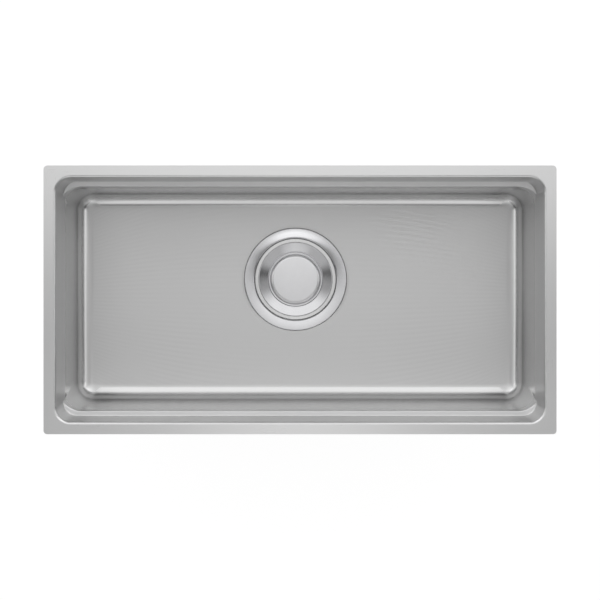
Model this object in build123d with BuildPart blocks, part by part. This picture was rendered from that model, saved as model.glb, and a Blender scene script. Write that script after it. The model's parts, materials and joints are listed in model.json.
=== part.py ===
"""Single-bowl stainless kitchen sink with stepped ledges, a large basket waste and a bell trap.

Millimetres. The origin is the centre of the bowl's mouth, in the plane of the rim's top face.
X runs along the sink, Y to its back, Z up. Waste heights are counted from the bowl's floor.
"""

import os
from math import atan2, cos, radians, sin, tan

from build123d import *

os.makedirs("parts", exist_ok=True)

# Rim and bowl
RIM_LENGTH = 840.0
RIM_WIDTH = 440.0
RIM_BAND = 20.0
RIM_CORNER_RADIUS = 6.0
BOWL_LENGTH = RIM_LENGTH - 2 * RIM_BAND
BOWL_WIDTH = RIM_WIDTH - 2 * RIM_BAND
BOWL_DEPTH = 200.0
SHEET = 1.0
LIP_RADIUS = 4.5
WALL_DRAFT = 3.5
MOUTH_CORNER_RADIUS = 24.0
COVE_RADIUS = 25.0
CORNER_OVER_COVE = 5.0
FLOOR_CORNER_RADIUS = COVE_RADIUS + CORNER_OVER_COVE

# Stepped ledges along the front and back walls
LEDGE_DEPTH = 58.0
LEDGE_WIDTH = 9.0
LEDGE_RUNOUT = 32.0
RUNOUT_HEIGHT = 60.0

# Sound-deadening pads on the outside of the bowl
PAD_THICKNESS = 3.0
PAD_CORNER_RADIUS = 8.0
PAD_MARGIN = 22.0
LONG_PAD_SETBACK = 140.0
END_PAD_SETBACK = 80.0
WALL_PAD_MARGIN = 13.5
FLOOR_PAD_LENGTH = BOWL_LENGTH / 4
LONG_PAD_LENGTH = BOWL_LENGTH - 2 * LONG_PAD_SETBACK
END_PAD_LENGTH = BOWL_WIDTH - 2 * END_PAD_SETBACK
WALL_PAD_HEIGHT = BOWL_DEPTH - COVE_RADIUS - LEDGE_DEPTH - 2 * WALL_PAD_MARGIN

# Waste outlet in the floor
DRAIN_X = -8.0
DRAIN_Y = 30.0
RECESS_DEPTH = 2.5
RECESS_CLEARANCE = 1.0
RECESS_SLOPE = 45.0
HOLE_CLEARANCE = 1.5

# Waste body, a moulded cup that drops through the floor
BODY_RADIUS = 76.0
BODY_WALL = 3.0
BODY_FLANGE_WIDTH = 13.1
BODY_FLANGE = 1.5
COLLAR_BELOW_SEAT = 6.0
BODY_TAPER = 3.0
SEAT_DEPTH = 18.0
SEAT_WIDTH = 6.5
STANDPIPE_WALL = 3.0
STANDPIPE_HEIGHT = 34.0
SPIGOT_WALL = 4.0
SPIGOT_LENGTH = 22.0
BODY_EDGE_RADIUS = 6.0
BODY_RIBS = 6
BODY_RIB_THICKNESS = 3.0
RIB_NUT_GAP = 2.0

# Polished trim that caps the flange of the waste body
TRIM_SHEET = 0.8
TRIM_GAP = 0.1
TRIM_SLOPE = 4.5
TRIM_EDGE_BEND = 0.4
THROAT_EDGE_BEND = 2.2
TRIM_SKIRT = 14.0

# Seals and clamp nut
GASKET_THICKNESS = 1.5
GASKET_SETBACK = 2.0
LOWER_GASKET_THICKNESS = 2.5
SLIP_RING_THICKNESS = 0.8
SLIP_RING_WIDTH = 9.0
NUT_HEIGHT = 12.0
NUT_WIDTH = 9.0
NUT_LUGS = 8
NUT_LUG_WIDTH = 16.0
NUT_LUG_REACH = 5.0
NUT_EDGE = 1.5
THREAD_CLEARANCE = 0.15

# Strainer basket
BASKET_SHEET = 0.8
BASKET_SIDE_GAP = 6.5
BASKET_DEPTH = 48.0
BASKET_TAPER = 6.0
BASKET_EDGE_RADIUS = 5.0
BASKET_BEND_RADIUS = 0.8
BASKET_LIP = 5.0
BASKET_RIM_THICKNESS = 1.5
BASKET_RIM_CHAMFER = 1.0
BASKET_CLEARANCE = 0.5
SEAT_CLEARANCE = 0.2
RIM_BORE_CLEARANCE = 0.2
WALL_SLOTS = 20
WALL_SLOT_WIDTH = 4.0
WALL_SLOT_MARGIN = 11.0
FLOOR_HOLE_RADIUS = 2.5
FLOOR_HOLE_PITCH = 12.0
HOLES_PER_RING = 6

# Lid of the waste
LID_SHEET = 1.0
LID_WATER_GAP = 6.6
LID_RIM_DEPTH = 3.5
LID_EDGE_BEND = 0.4
LID_CURL = 3.0
DISH_DROP = 7.0
DISH_WIDTH = 18.5
DISH_BEND_RADIUS = 3.0
KNOB_BORDER = 2.0
KNOB_HEIGHT = 11.0
KNOB_EDGE_RADIUS = 7.0
KNOB_SHEET = 1.2
STUD_RADIUS = 2.5
STUD_CLEARANCE = 0.1
STUD_END = 1.0
LID_NUT_RADIUS = 4.6
LID_NUT_HEIGHT = 4.0
LID_FEET = 3
LID_FOOT_RADIUS = 2.3
LID_FOOT_INSET = 1.8

# Bell trap cup over the standpipe
TRAP_WATERWAY = 15.0
TRAP_WALL = 2.0
TRAP_HEADROOM = 9.7
TRAP_FOOT_GAP = 11.0
TRAP_RIBS = 3
TRAP_RIB_THICKNESS = 2.0
TRAP_RIB_DROP = 14.0
TRAP_RIB_OVERHANG = 2.0
TRAP_CLEARANCE = 0.4
TRAP_EDGE_RADIUS = 4.0
GRIP_LENGTH = 34.0
GRIP_WIDTH = 6.0
GRIP_HEIGHT = 6.0
GRIP_EDGE_RADIUS = 1.5
GRIP_CLEARANCE = 2.0

# Outlet union and tail pipe
TAIL_RADIUS = 20.0
TAIL_WALL = 2.0
TAIL_NECK_RELIEF = 0.4
TAIL_NECK_MARGIN = 1.0
TAIL_FLANGE = 3.0
TAIL_FREE_LENGTH = 38.0
OUTLET_WASHER_THICKNESS = 3.0
OUTLET_NUT_WALL = 6.0
OUTLET_NUT_LIP = 3.0
OUTLET_NUT_GRIP = 15.0
OUTLET_NUT_BORE_CLEARANCE = 0.3
OUTLET_NUT_FLUTES = 12
FLUTE_RADIUS = 3.0
FLUTE_DEPTH = 1.8

# Radii of the waste, worked out from the sizes above
THROAT_RADIUS = BODY_RADIUS - BODY_WALL
BORE_RADIUS = THROAT_RADIUS - SEAT_WIDTH
HOLE_RADIUS = BODY_RADIUS + HOLE_CLEARANCE
FLANGE_RADIUS = BODY_RADIUS + BODY_FLANGE_WIDTH
TRIM_RADIUS = FLANGE_RADIUS + TRIM_GAP + TRIM_SHEET
TRIM_THROAT = THROAT_RADIUS - TRIM_GAP - TRIM_SHEET
NUT_BORE = BODY_RADIUS + THREAD_CLEARANCE
BASKET_RADIUS = BORE_RADIUS - BASKET_SIDE_GAP
LID_RADIUS = TRIM_THROAT - LID_WATER_GAP
DISH_SEAT_RADIUS = LID_RADIUS - DISH_WIDTH
KNOB_RADIUS = DISH_SEAT_RADIUS - KNOB_BORDER
FOOT_CIRCLE = BASKET_RADIUS + LID_FOOT_INSET
PIPE_BORE = TAIL_RADIUS - TAIL_WALL
STANDPIPE_RADIUS = TAIL_RADIUS + STANDPIPE_WALL
SPIGOT_RADIUS = TAIL_RADIUS + SPIGOT_WALL
TRAP_BORE = STANDPIPE_RADIUS + TRAP_WATERWAY
TRAP_RADIUS = TRAP_BORE + TRAP_WALL
OUTLET_NUT_THREAD = SPIGOT_RADIUS + THREAD_CLEARANCE
OUTLET_NUT_RADIUS = OUTLET_NUT_THREAD + OUTLET_NUT_WALL

# Heights in the waste, counted from the bowl's floor
RECESS_UNDERSIDE = -RECESS_DEPTH - SHEET
GASKET_TOP = -RECESS_DEPTH + GASKET_THICKNESS
FLANGE_TOP = GASKET_TOP + BODY_FLANGE
SLIP_RING_TOP = RECESS_UNDERSIDE - LOWER_GASKET_THICKNESS
NUT_TOP = SLIP_RING_TOP - SLIP_RING_THICKNESS
COLLAR_END = -SEAT_DEPTH - COLLAR_BELOW_SEAT
BASKET_RIM_FOOT = -SEAT_DEPTH + SEAT_CLEARANCE
BASKET_RIM_TOP = BASKET_RIM_FOOT + BASKET_RIM_THICKNESS
BASKET_LIP_TOP = BASKET_RIM_TOP + BASKET_SHEET
BASKET_FOOT = BASKET_RIM_TOP - BASKET_DEPTH
DISH_SEAT = -LID_RIM_DEPTH - DISH_DROP
KNOB_TOP = DISH_SEAT + KNOB_HEIGHT
LID_NUT_TOP = DISH_SEAT - LID_SHEET
TRAP_TOP = BASKET_FOOT - GRIP_CLEARANCE - GRIP_HEIGHT
STANDPIPE_TOP = TRAP_TOP - TRAP_WALL - TRAP_HEADROOM
BODY_FLOOR = STANDPIPE_TOP - STANDPIPE_HEIGHT
BODY_FOOT = BODY_FLOOR - BODY_WALL
TRAP_FOOT = BODY_FLOOR + TRAP_FOOT_GAP
SPIGOT_END = BODY_FOOT - SPIGOT_LENGTH
OUTLET_NUT_TOP = SPIGOT_END + OUTLET_NUT_GRIP
TAIL_TOP = SPIGOT_END - OUTLET_WASHER_THICKNESS
TAIL_SHOULDER = TAIL_TOP - TAIL_FLANGE
OUTLET_NUT_END = TAIL_SHOULDER - OUTLET_NUT_LIP
TAIL_NECK_END = OUTLET_NUT_END - TAIL_NECK_MARGIN
TAIL_END = TAIL_NECK_END - TAIL_FREE_LENGTH

# Places of the waste and the pads in the sink
FLOOR_Z = -BOWL_DEPTH
DRAIN_AXIS = Axis((DRAIN_X, DRAIN_Y, FLOOR_Z), (0, 0, 1))
DRAIN_SECTION = Plane((DRAIN_X, DRAIN_Y, FLOOR_Z), x_dir=(1, 0, 0), z_dir=(0, -1, 0))
PAD_MID_DEPTH = (LEDGE_DEPTH + BOWL_DEPTH - COVE_RADIUS) / 2

# How closely an edge has to match when it is picked out by its place
MATCH = 0.01


def drain_plane(height):
    """Level plane through the drain axis, at a height above the bowl's floor."""
    return Plane((DRAIN_X, DRAIN_Y, FLOOR_Z + height))


def spoke_plane(angle):
    """Upright plane through the drain axis whose x points out at this angle."""
    turn = radians(angle)
    outward = (cos(turn), sin(turn), 0)
    across = (sin(turn), -cos(turn), 0)
    return Plane((DRAIN_X, DRAIN_Y, FLOOR_Z), x_dir=outward, z_dir=across)


def spokes(count):
    """Angles of evenly spaced spokes."""
    return [360 * step / count for step in range(count)]


def ring(inner, outer, bottom, top):
    """Plain ring round the drain axis."""
    with BuildPart() as part:
        with BuildSketch(drain_plane(bottom)):
            Circle(outer)
            Circle(inner, mode=Mode.SUBTRACT)
        extrude(amount=top - bottom)
    return part.part


def turned(*points):
    """Solid turned round the drain axis from a closed outline of radius and height."""
    with BuildPart() as part:
        with BuildSketch(DRAIN_SECTION):
            with BuildLine():
                Polyline(*points, close=True)
            make_face()
        revolve(axis=DRAIN_AXIS)
    return part.part


def spun_sheet(points, bends, sheet, side):
    """Sheet of one thickness spun round the drain axis, bent along points of radius and height."""
    with BuildPart() as part:
        with BuildSketch(DRAIN_SECTION):
            with BuildLine():
                FilletPolyline(*points, radius=bends)
                offset(amount=sheet, side=side)
            make_face()
        revolve(axis=DRAIN_AXIS)
    return part.part


def circles_at(part, radius, height):
    """Circular edges of a turned piece with this radius, at this height above the bowl's floor."""
    level = FLOOR_Z + height
    circles = part.edges().filter_by(GeomType.CIRCLE).filter_by_position(Axis.Z, level - MATCH, level + MATCH)
    return circles.filter_by(lambda edge: abs(edge.radius - radius) < MATCH)


def flange_height(radius):
    """Top of the body's flange, which slopes down towards the throat."""
    return FLANGE_TOP - (FLANGE_RADIUS - radius) * tan(radians(TRIM_SLOPE))


def trim_height(radius):
    """Top of the trim over the body's flange."""
    return flange_height(radius) + TRIM_GAP + TRIM_SHEET


def dish_underside(radius):
    """Underside of the sloping part of the lid's dish."""
    slope = atan2(DISH_DROP, DISH_WIDTH)
    return -LID_RIM_DEPTH - (LID_RADIUS - radius) * tan(slope) - LID_SHEET / cos(slope)


def wall_inset(depth):
    """How far the drafted walls have come in at a depth below the rim."""
    return depth * tan(radians(WALL_DRAFT))


def bowl_section(depth, grow, ledge_width, run, drop):
    """Level section of the bowl, whose corner arcs leave the long walls at run and meet the ends at drop."""
    x = BOWL_LENGTH / 2 + grow - wall_inset(depth)
    y = BOWL_WIDTH / 2 + grow - wall_inset(depth) - ledge_width
    with BuildSketch(Plane.XY.offset(-depth)) as section:
        with BuildLine():
            Line((run - x, -y), (x - run, -y))
            TangentArc((x - run, -y), (x, drop - y), tangent=(1, 0))
            Line((x, drop - y), (x, y - drop))
            TangentArc((x - run, y), (x, y - drop), tangent=(1, 0))
            Line((x - run, y), (run - x, y))
            TangentArc((run - x, y), (-x, y - drop), tangent=(-1, 0))
            Line((-x, y - drop), (-x, drop - y))
            TangentArc((run - x, -y), (-x, drop - y), tangent=(-1, 0))
        make_face()
    return section.sketch


def bowl_form(grow):
    """The space inside the bowl, with its walls, ledges and floor moved out by grow."""
    mouth_round = MOUTH_CORNER_RADIUS + grow
    floor_round = FLOOR_CORNER_RADIUS + grow
    ledge = LEDGE_DEPTH + grow
    runout = ledge + RUNOUT_HEIGHT
    floor = BOWL_DEPTH + grow
    mouth = bowl_section(0, grow, 0, mouth_round, mouth_round)
    ledge_outside = bowl_section(ledge, grow, 0, mouth_round, mouth_round)
    ledge_inside = bowl_section(ledge, grow, LEDGE_WIDTH, LEDGE_RUNOUT, mouth_round - LEDGE_WIDTH)
    below_runout = bowl_section(runout, grow, LEDGE_WIDTH, floor_round, floor_round)
    bottom = bowl_section(floor, grow, LEDGE_WIDTH, floor_round, floor_round)
    with BuildPart() as form:
        loft([below_runout, bottom], ruled=True)
        fillet(form.faces().sort_by(Axis.Z)[0].edges(), COVE_RADIUS + grow)
        loft([ledge_inside, below_runout], ruled=True)
        loft([mouth, ledge_outside], ruled=True)
        with BuildSketch(drain_plane(-RECESS_DEPTH - grow)):
            Circle(TRIM_RADIUS + RECESS_CLEARANCE + grow)
        extrude(amount=RECESS_DEPTH + grow, taper=-RECESS_SLOPE)
    return form.part


# Pressed bowl with its rim
with BuildPart() as sink_bowl:
    with BuildSketch():
        RectangleRounded(RIM_LENGTH, RIM_WIDTH, RIM_CORNER_RADIUS)
    extrude(amount=-SHEET)
    add(bowl_form(SHEET))
    rim_underside = sink_bowl.faces().filter_by(Axis.Z).sort_by(Axis.Z)[-2]
    fillet(rim_underside.inner_wires()[0].edges(), LIP_RADIUS - SHEET)
    add(bowl_form(0), mode=Mode.SUBTRACT)
    rim_top = sink_bowl.faces().filter_by(Axis.Z).sort_by(Axis.Z)[-1]
    fillet(rim_top.inner_wires()[0].edges(), LIP_RADIUS)
    with BuildSketch(drain_plane(0)):
        Circle(HOLE_RADIUS)
    extrude(amount=-RECESS_DEPTH - 2 * SHEET, mode=Mode.SUBTRACT)
sink_bowl.part.label = "sink_bowl"
export_step(sink_bowl.part, "parts/sink_bowl.step")


def wall_pad(facing, wall_distance, length):
    """Pad bonded to the outside of the drafted wall that faces this way."""
    draft = radians(WALL_DRAFT)
    outward = facing * cos(draft) - Vector(0, 0, sin(draft))
    middle = facing * wall_distance - Vector(0, 0, PAD_MID_DEPTH)
    with BuildPart() as pad:
        with BuildSketch(Plane(middle, x_dir=facing.cross(Vector(0, 0, 1)), z_dir=outward)):
            RectangleRounded(length, WALL_PAD_HEIGHT, PAD_CORNER_RADIUS)
        extrude(amount=PAD_THICKNESS)
    return pad.part


def floor_pad(side):
    """Pad bonded under the floor at one end of the bowl, side -1 for the left."""
    flat_length = BOWL_LENGTH / 2 - wall_inset(BOWL_DEPTH) - COVE_RADIUS
    flat_width = BOWL_WIDTH / 2 - wall_inset(BOWL_DEPTH) - COVE_RADIUS - LEDGE_WIDTH
    middle = flat_length - PAD_MARGIN - FLOOR_PAD_LENGTH / 2
    with BuildPart() as pad:
        with BuildSketch(Plane((side * middle, 0, FLOOR_Z - SHEET))):
            RectangleRounded(FLOOR_PAD_LENGTH, 2 * (flat_width - PAD_MARGIN), PAD_CORNER_RADIUS)
        extrude(amount=-PAD_THICKNESS)
    return pad.part


# Sound-deadening pads
end_wall = BOWL_LENGTH / 2 + SHEET - wall_inset(PAD_MID_DEPTH)
long_wall = BOWL_WIDTH / 2 + SHEET - wall_inset(PAD_MID_DEPTH) - LEDGE_WIDTH
pads = {
    "pad_front": wall_pad(Vector(0, -1, 0), long_wall, LONG_PAD_LENGTH),
    "pad_back": wall_pad(Vector(0, 1, 0), long_wall, LONG_PAD_LENGTH),
    "pad_left": wall_pad(Vector(-1, 0, 0), end_wall, END_PAD_LENGTH),
    "pad_right": wall_pad(Vector(1, 0, 0), end_wall, END_PAD_LENGTH),
    "pad_floor_left": floor_pad(-1),
    "pad_floor_right": floor_pad(1),
}
for name, pad in pads.items():
    pad.label = name
    export_step(pad, f"parts/{name}.step")


# Waste body with basket seat, standpipe and outlet spigot
with BuildPart() as waste_body:
    with BuildSketch(DRAIN_SECTION):
        with BuildLine():
            Polyline(
                (THROAT_RADIUS, flange_height(THROAT_RADIUS)),
                (FLANGE_RADIUS, FLANGE_TOP),
                (FLANGE_RADIUS, GASKET_TOP),
                (BODY_RADIUS, GASKET_TOP),
                (BODY_RADIUS, COLLAR_END),
                (BORE_RADIUS + BODY_WALL, COLLAR_END - SEAT_WIDTH),
                (BORE_RADIUS + BODY_WALL - BODY_TAPER, BODY_FOOT),
                (SPIGOT_RADIUS, BODY_FOOT),
                (SPIGOT_RADIUS, SPIGOT_END),
                (TAIL_RADIUS, SPIGOT_END),
                (TAIL_RADIUS, STANDPIPE_TOP),
                (STANDPIPE_RADIUS, STANDPIPE_TOP),
                (STANDPIPE_RADIUS, BODY_FLOOR),
                (BORE_RADIUS - BODY_TAPER, BODY_FLOOR),
                (BORE_RADIUS, -SEAT_DEPTH),
                (THROAT_RADIUS, -SEAT_DEPTH),
                close=True,
            )
        make_face()
    revolve(axis=DRAIN_AXIS)
    fillet(circles_at(waste_body, THROAT_RADIUS, flange_height(THROAT_RADIUS)), THROAT_EDGE_BEND - TRIM_GAP)
    fillet(circles_at(waste_body, FLANGE_RADIUS, FLANGE_TOP), TRIM_EDGE_BEND - TRIM_GAP)
    fillet(circles_at(waste_body, BORE_RADIUS + BODY_WALL - BODY_TAPER, BODY_FOOT), BODY_EDGE_RADIUS)
    fillet(circles_at(waste_body, BORE_RADIUS - BODY_TAPER, BODY_FLOOR), BODY_EDGE_RADIUS - BODY_WALL / 2)
    for angle in spokes(BODY_RIBS):
        with BuildSketch(spoke_plane(angle)):
            with BuildLine():
                Polyline(
                    (SPIGOT_RADIUS - SPIGOT_WALL / 2, BODY_FOOT + BODY_WALL / 2),
                    (BORE_RADIUS - BODY_TAPER - BODY_EDGE_RADIUS, BODY_FOOT + BODY_WALL / 2),
                    (SPIGOT_RADIUS - SPIGOT_WALL / 2, OUTLET_NUT_TOP + RIB_NUT_GAP),
                    close=True,
                )
            make_face()
    extrude(amount=BODY_RIB_THICKNESS / 2, both=True)
waste_body.part.label = "waste_body"
export_step(waste_body.part, "parts/waste_body.step")


# Polished trim over the body's flange and down the throat
with BuildPart() as waste_trim:
    add(spun_sheet(
        [
            (TRIM_RADIUS, GASKET_TOP + TRIM_GAP),
            (TRIM_RADIUS, trim_height(TRIM_RADIUS)),
            (TRIM_THROAT, trim_height(TRIM_THROAT)),
            (TRIM_THROAT, -TRIM_SKIRT),
        ],
        [TRIM_EDGE_BEND + TRIM_SHEET, THROAT_EDGE_BEND + TRIM_SHEET],
        TRIM_SHEET,
        Side.LEFT,
    ))
waste_trim.part.label = "waste_trim"
export_step(waste_trim.part, "parts/waste_trim.step")


# Seals, slip ring and washer
seals = {
    "upper_gasket": ring(HOLE_RADIUS, FLANGE_RADIUS - GASKET_SETBACK, -RECESS_DEPTH, GASKET_TOP),
    "lower_gasket": ring(NUT_BORE, NUT_BORE + SLIP_RING_WIDTH, SLIP_RING_TOP, RECESS_UNDERSIDE),
    "slip_ring": ring(NUT_BORE, NUT_BORE + SLIP_RING_WIDTH, NUT_TOP, SLIP_RING_TOP),
    "outlet_washer": ring(TAIL_RADIUS, SPIGOT_RADIUS, TAIL_TOP, SPIGOT_END),
}
for name, seal in seals.items():
    seal.label = name
    export_step(seal, f"parts/{name}.step")


# Lugged ring nut that clamps the body to the floor
with BuildPart() as clamp_nut:
    with BuildSketch(drain_plane(NUT_TOP)):
        Circle(BODY_RADIUS + NUT_WIDTH)
        with PolarLocations(BODY_RADIUS + NUT_WIDTH, NUT_LUGS):
            Rectangle(2 * NUT_LUG_REACH, NUT_LUG_WIDTH)
        Circle(NUT_BORE, mode=Mode.SUBTRACT)
    extrude(amount=-NUT_HEIGHT)
    fillet(clamp_nut.edges().filter_by(GeomType.LINE).filter_by(Axis.Z), NUT_EDGE)
clamp_nut.part.label = "clamp_nut"
export_step(clamp_nut.part, "parts/clamp_nut.step")


# Ring that carries the basket on its seat
with BuildPart() as basket_rim:
    add(turned(
        (BASKET_RADIUS + RIM_BORE_CLEARANCE, BASKET_RIM_FOOT),
        (TRIM_THROAT - BASKET_CLEARANCE, BASKET_RIM_FOOT),
        (TRIM_THROAT - BASKET_CLEARANCE, BASKET_RIM_TOP),
        (BASKET_RADIUS + RIM_BORE_CLEARANCE + BASKET_RIM_CHAMFER, BASKET_RIM_TOP),
        (BASKET_RADIUS + RIM_BORE_CLEARANCE, BASKET_RIM_TOP - BASKET_RIM_CHAMFER),
    ))
basket_rim.part.label = "basket_rim"
export_step(basket_rim.part, "parts/basket_rim.step")


# Perforated strainer cup hung in its rim
with BuildPart() as basket_cup:
    add(spun_sheet(
        [
            (BASKET_RADIUS + BASKET_LIP, BASKET_RIM_TOP),
            (BASKET_RADIUS, BASKET_RIM_TOP),
            (BASKET_RADIUS - BASKET_TAPER, BASKET_FOOT),
            (0, BASKET_FOOT),
        ],
        [BASKET_BEND_RADIUS, BASKET_EDGE_RADIUS],
        BASKET_SHEET,
        Side.RIGHT,
    ))
    for angle in spokes(WALL_SLOTS):
        spoke = spoke_plane(angle)
        middle = spoke.origin + Vector(0, 0, (BASKET_RIM_TOP + BASKET_FOOT) / 2)
        with BuildSketch(Plane(middle, x_dir=(0, 0, 1), z_dir=spoke.x_dir)):
            SlotOverall(BASKET_DEPTH - 2 * WALL_SLOT_MARGIN, WALL_SLOT_WIDTH)
    extrude(amount=BASKET_RADIUS, mode=Mode.SUBTRACT)
    floor_edge = BASKET_RADIUS - BASKET_TAPER - BASKET_EDGE_RADIUS - FLOOR_HOLE_RADIUS
    hole_rings = int(floor_edge // FLOOR_HOLE_PITCH)
    with BuildSketch(drain_plane(BASKET_FOOT)):
        Circle(FLOOR_HOLE_RADIUS)
        for step in range(1, hole_rings + 1):
            with PolarLocations(step * FLOOR_HOLE_PITCH, step * HOLES_PER_RING):
                Circle(FLOOR_HOLE_RADIUS)
    extrude(amount=BASKET_SHEET, mode=Mode.SUBTRACT)
basket_cup.part.label = "basket_cup"
export_step(basket_cup.part, "parts/basket_cup.step")


# Bell that hangs over the standpipe on three ribs
with BuildPart() as trap_cup:
    add(turned(
        (0, TRAP_TOP),
        (TRAP_RADIUS, TRAP_TOP),
        (TRAP_RADIUS, TRAP_FOOT),
        (TRAP_BORE, TRAP_FOOT),
        (TRAP_BORE, TRAP_TOP - TRAP_WALL),
        (0, TRAP_TOP - TRAP_WALL),
    ))
    fillet(circles_at(trap_cup, TRAP_RADIUS, TRAP_TOP), TRAP_EDGE_RADIUS)
    for angle in spokes(TRAP_RIBS):
        with BuildSketch(spoke_plane(angle)):
            with BuildLine():
                Polyline(
                    (TAIL_RADIUS - TRAP_RIB_OVERHANG, TRAP_TOP - TRAP_WALL / 2),
                    (TRAP_BORE, TRAP_TOP - TRAP_WALL / 2),
                    (TRAP_BORE, STANDPIPE_TOP - TRAP_RIB_DROP),
                    (STANDPIPE_RADIUS + TRAP_CLEARANCE, STANDPIPE_TOP - TRAP_RIB_DROP),
                    (STANDPIPE_RADIUS + TRAP_CLEARANCE, STANDPIPE_TOP + SEAT_CLEARANCE),
                    (TAIL_RADIUS - TRAP_RIB_OVERHANG, STANDPIPE_TOP + SEAT_CLEARANCE),
                    close=True,
                )
            make_face()
    extrude(amount=TRAP_RIB_THICKNESS / 2, both=True)
    with BuildSketch(drain_plane(TRAP_TOP)):
        SlotOverall(GRIP_LENGTH, GRIP_WIDTH)
    extrude(amount=GRIP_HEIGHT)
    fillet(trap_cup.faces().sort_by(Axis.Z)[-1].edges(), GRIP_EDGE_RADIUS)
trap_cup.part.label = "trap_cup"
export_step(trap_cup.part, "parts/trap_cup.step")


# Dished plate of the lid
with BuildPart() as lid_dish:
    add(spun_sheet(
        [
            (LID_RADIUS, -LID_RIM_DEPTH - LID_CURL),
            (LID_RADIUS, -LID_RIM_DEPTH),
            (DISH_SEAT_RADIUS, DISH_SEAT),
            (STUD_RADIUS + STUD_CLEARANCE, DISH_SEAT),
        ],
        [LID_EDGE_BEND + LID_SHEET, DISH_BEND_RADIUS],
        LID_SHEET,
        Side.LEFT,
    ))
lid_dish.part.label = "lid_dish"
export_step(lid_dish.part, "parts/lid_dish.step")


# Hollow flat-topped knob with its stud
with BuildPart() as lid_knob:
    add(spun_sheet(
        [(KNOB_RADIUS, DISH_SEAT), (KNOB_RADIUS, KNOB_TOP), (0, KNOB_TOP)],
        [KNOB_EDGE_RADIUS],
        KNOB_SHEET,
        Side.LEFT,
    ))
    stud_top = KNOB_TOP - KNOB_SHEET
    with BuildSketch(drain_plane(stud_top)):
        Circle(STUD_RADIUS)
    extrude(amount=LID_NUT_TOP - LID_NUT_HEIGHT - STUD_END - stud_top)
lid_knob.part.label = "lid_knob"
export_step(lid_knob.part, "parts/lid_knob.step")


# Nut under the dish
with BuildPart() as lid_nut:
    with BuildSketch(drain_plane(LID_NUT_TOP)):
        RegularPolygon(LID_NUT_RADIUS, 6)
        Circle(STUD_RADIUS + STUD_CLEARANCE, mode=Mode.SUBTRACT)
    extrude(amount=-LID_NUT_HEIGHT)
lid_nut.part.label = "lid_nut"
export_step(lid_nut.part, "parts/lid_nut.step")


# Rubber feet that stand the lid on the basket's lip
with BuildPart() as lid_feet:
    with BuildSketch(drain_plane(BASKET_LIP_TOP + SEAT_CLEARANCE)):
        with PolarLocations(FOOT_CIRCLE, LID_FEET, start_angle=90):
            Circle(LID_FOOT_RADIUS)
    extrude(amount=-LID_RIM_DEPTH - BASKET_LIP_TOP - SEAT_CLEARANCE)
    add(
        turned(
            (DISH_SEAT_RADIUS, dish_underside(DISH_SEAT_RADIUS)),
            (LID_RADIUS, dish_underside(LID_RADIUS)),
            (LID_RADIUS, 0),
            (DISH_SEAT_RADIUS, 0),
        ),
        mode=Mode.SUBTRACT,
    )
lid_feet.part.label = "lid_feet"
export_step(lid_feet.part, "parts/lid_feet.step")


# Tail pipe held by its flange
with BuildPart() as tail_pipe:
    add(turned(
        (PIPE_BORE, TAIL_TOP),
        (SPIGOT_RADIUS, TAIL_TOP),
        (SPIGOT_RADIUS, TAIL_SHOULDER),
        (TAIL_RADIUS - TAIL_NECK_RELIEF, TAIL_SHOULDER),
        (TAIL_RADIUS - TAIL_NECK_RELIEF, TAIL_NECK_END),
        (TAIL_RADIUS, TAIL_NECK_END),
        (TAIL_RADIUS, TAIL_END),
        (PIPE_BORE, TAIL_END),
    ))
tail_pipe.part.label = "tail_pipe"
export_step(tail_pipe.part, "parts/tail_pipe.step")


# Fluted union nut
with BuildPart() as outlet_nut:
    add(turned(
        (OUTLET_NUT_THREAD, OUTLET_NUT_TOP),
        (OUTLET_NUT_RADIUS, OUTLET_NUT_TOP),
        (OUTLET_NUT_RADIUS, OUTLET_NUT_END),
        (TAIL_RADIUS + OUTLET_NUT_BORE_CLEARANCE, OUTLET_NUT_END),
        (TAIL_RADIUS + OUTLET_NUT_BORE_CLEARANCE, TAIL_SHOULDER),
        (OUTLET_NUT_THREAD, TAIL_SHOULDER),
    ))
    with BuildSketch(drain_plane(OUTLET_NUT_END)):
        with PolarLocations(OUTLET_NUT_RADIUS + FLUTE_RADIUS - FLUTE_DEPTH, OUTLET_NUT_FLUTES):
            Circle(FLUTE_RADIUS)
    extrude(amount=OUTLET_NUT_TOP - OUTLET_NUT_END, mode=Mode.SUBTRACT)
outlet_nut.part.label = "outlet_nut"
export_step(outlet_nut.part, "parts/outlet_nut.step")
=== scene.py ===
"""Looks of a stainless kitchen sink: pressed bowl, polished waste with its lid, strainer, trap and outlet.

Metres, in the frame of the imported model. The origin is the centre of the bowl's mouth, X runs along the sink,
Y to its back and Z up. Heights in the waste are counted from the bowl's floor.
"""

import json
import math

import bmesh
import bpy
from mathutils import Matrix, Vector


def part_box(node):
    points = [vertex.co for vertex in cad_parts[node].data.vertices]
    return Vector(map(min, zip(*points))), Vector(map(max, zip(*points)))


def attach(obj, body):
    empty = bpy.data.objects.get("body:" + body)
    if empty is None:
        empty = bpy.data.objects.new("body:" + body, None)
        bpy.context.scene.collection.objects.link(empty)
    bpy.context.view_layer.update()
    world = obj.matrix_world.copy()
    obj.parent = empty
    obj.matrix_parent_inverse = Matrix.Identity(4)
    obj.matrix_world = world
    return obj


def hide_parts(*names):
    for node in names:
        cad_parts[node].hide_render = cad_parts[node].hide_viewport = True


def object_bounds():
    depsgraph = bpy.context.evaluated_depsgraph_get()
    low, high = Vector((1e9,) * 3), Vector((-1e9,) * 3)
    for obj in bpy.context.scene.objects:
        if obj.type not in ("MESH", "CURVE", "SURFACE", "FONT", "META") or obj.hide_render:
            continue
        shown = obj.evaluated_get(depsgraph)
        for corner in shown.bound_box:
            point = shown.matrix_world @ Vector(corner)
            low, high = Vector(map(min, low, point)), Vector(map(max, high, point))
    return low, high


bl_info = {
    "name": "Kitchen sink",
    "version": (1, 0, 0),
    "blender": (4, 5, 0),
    "location": "3D View > Sidebar > Sink",
    "description": "Builds the looks of a stainless kitchen sink round its packed model",
    "category": "Object",
}

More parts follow.
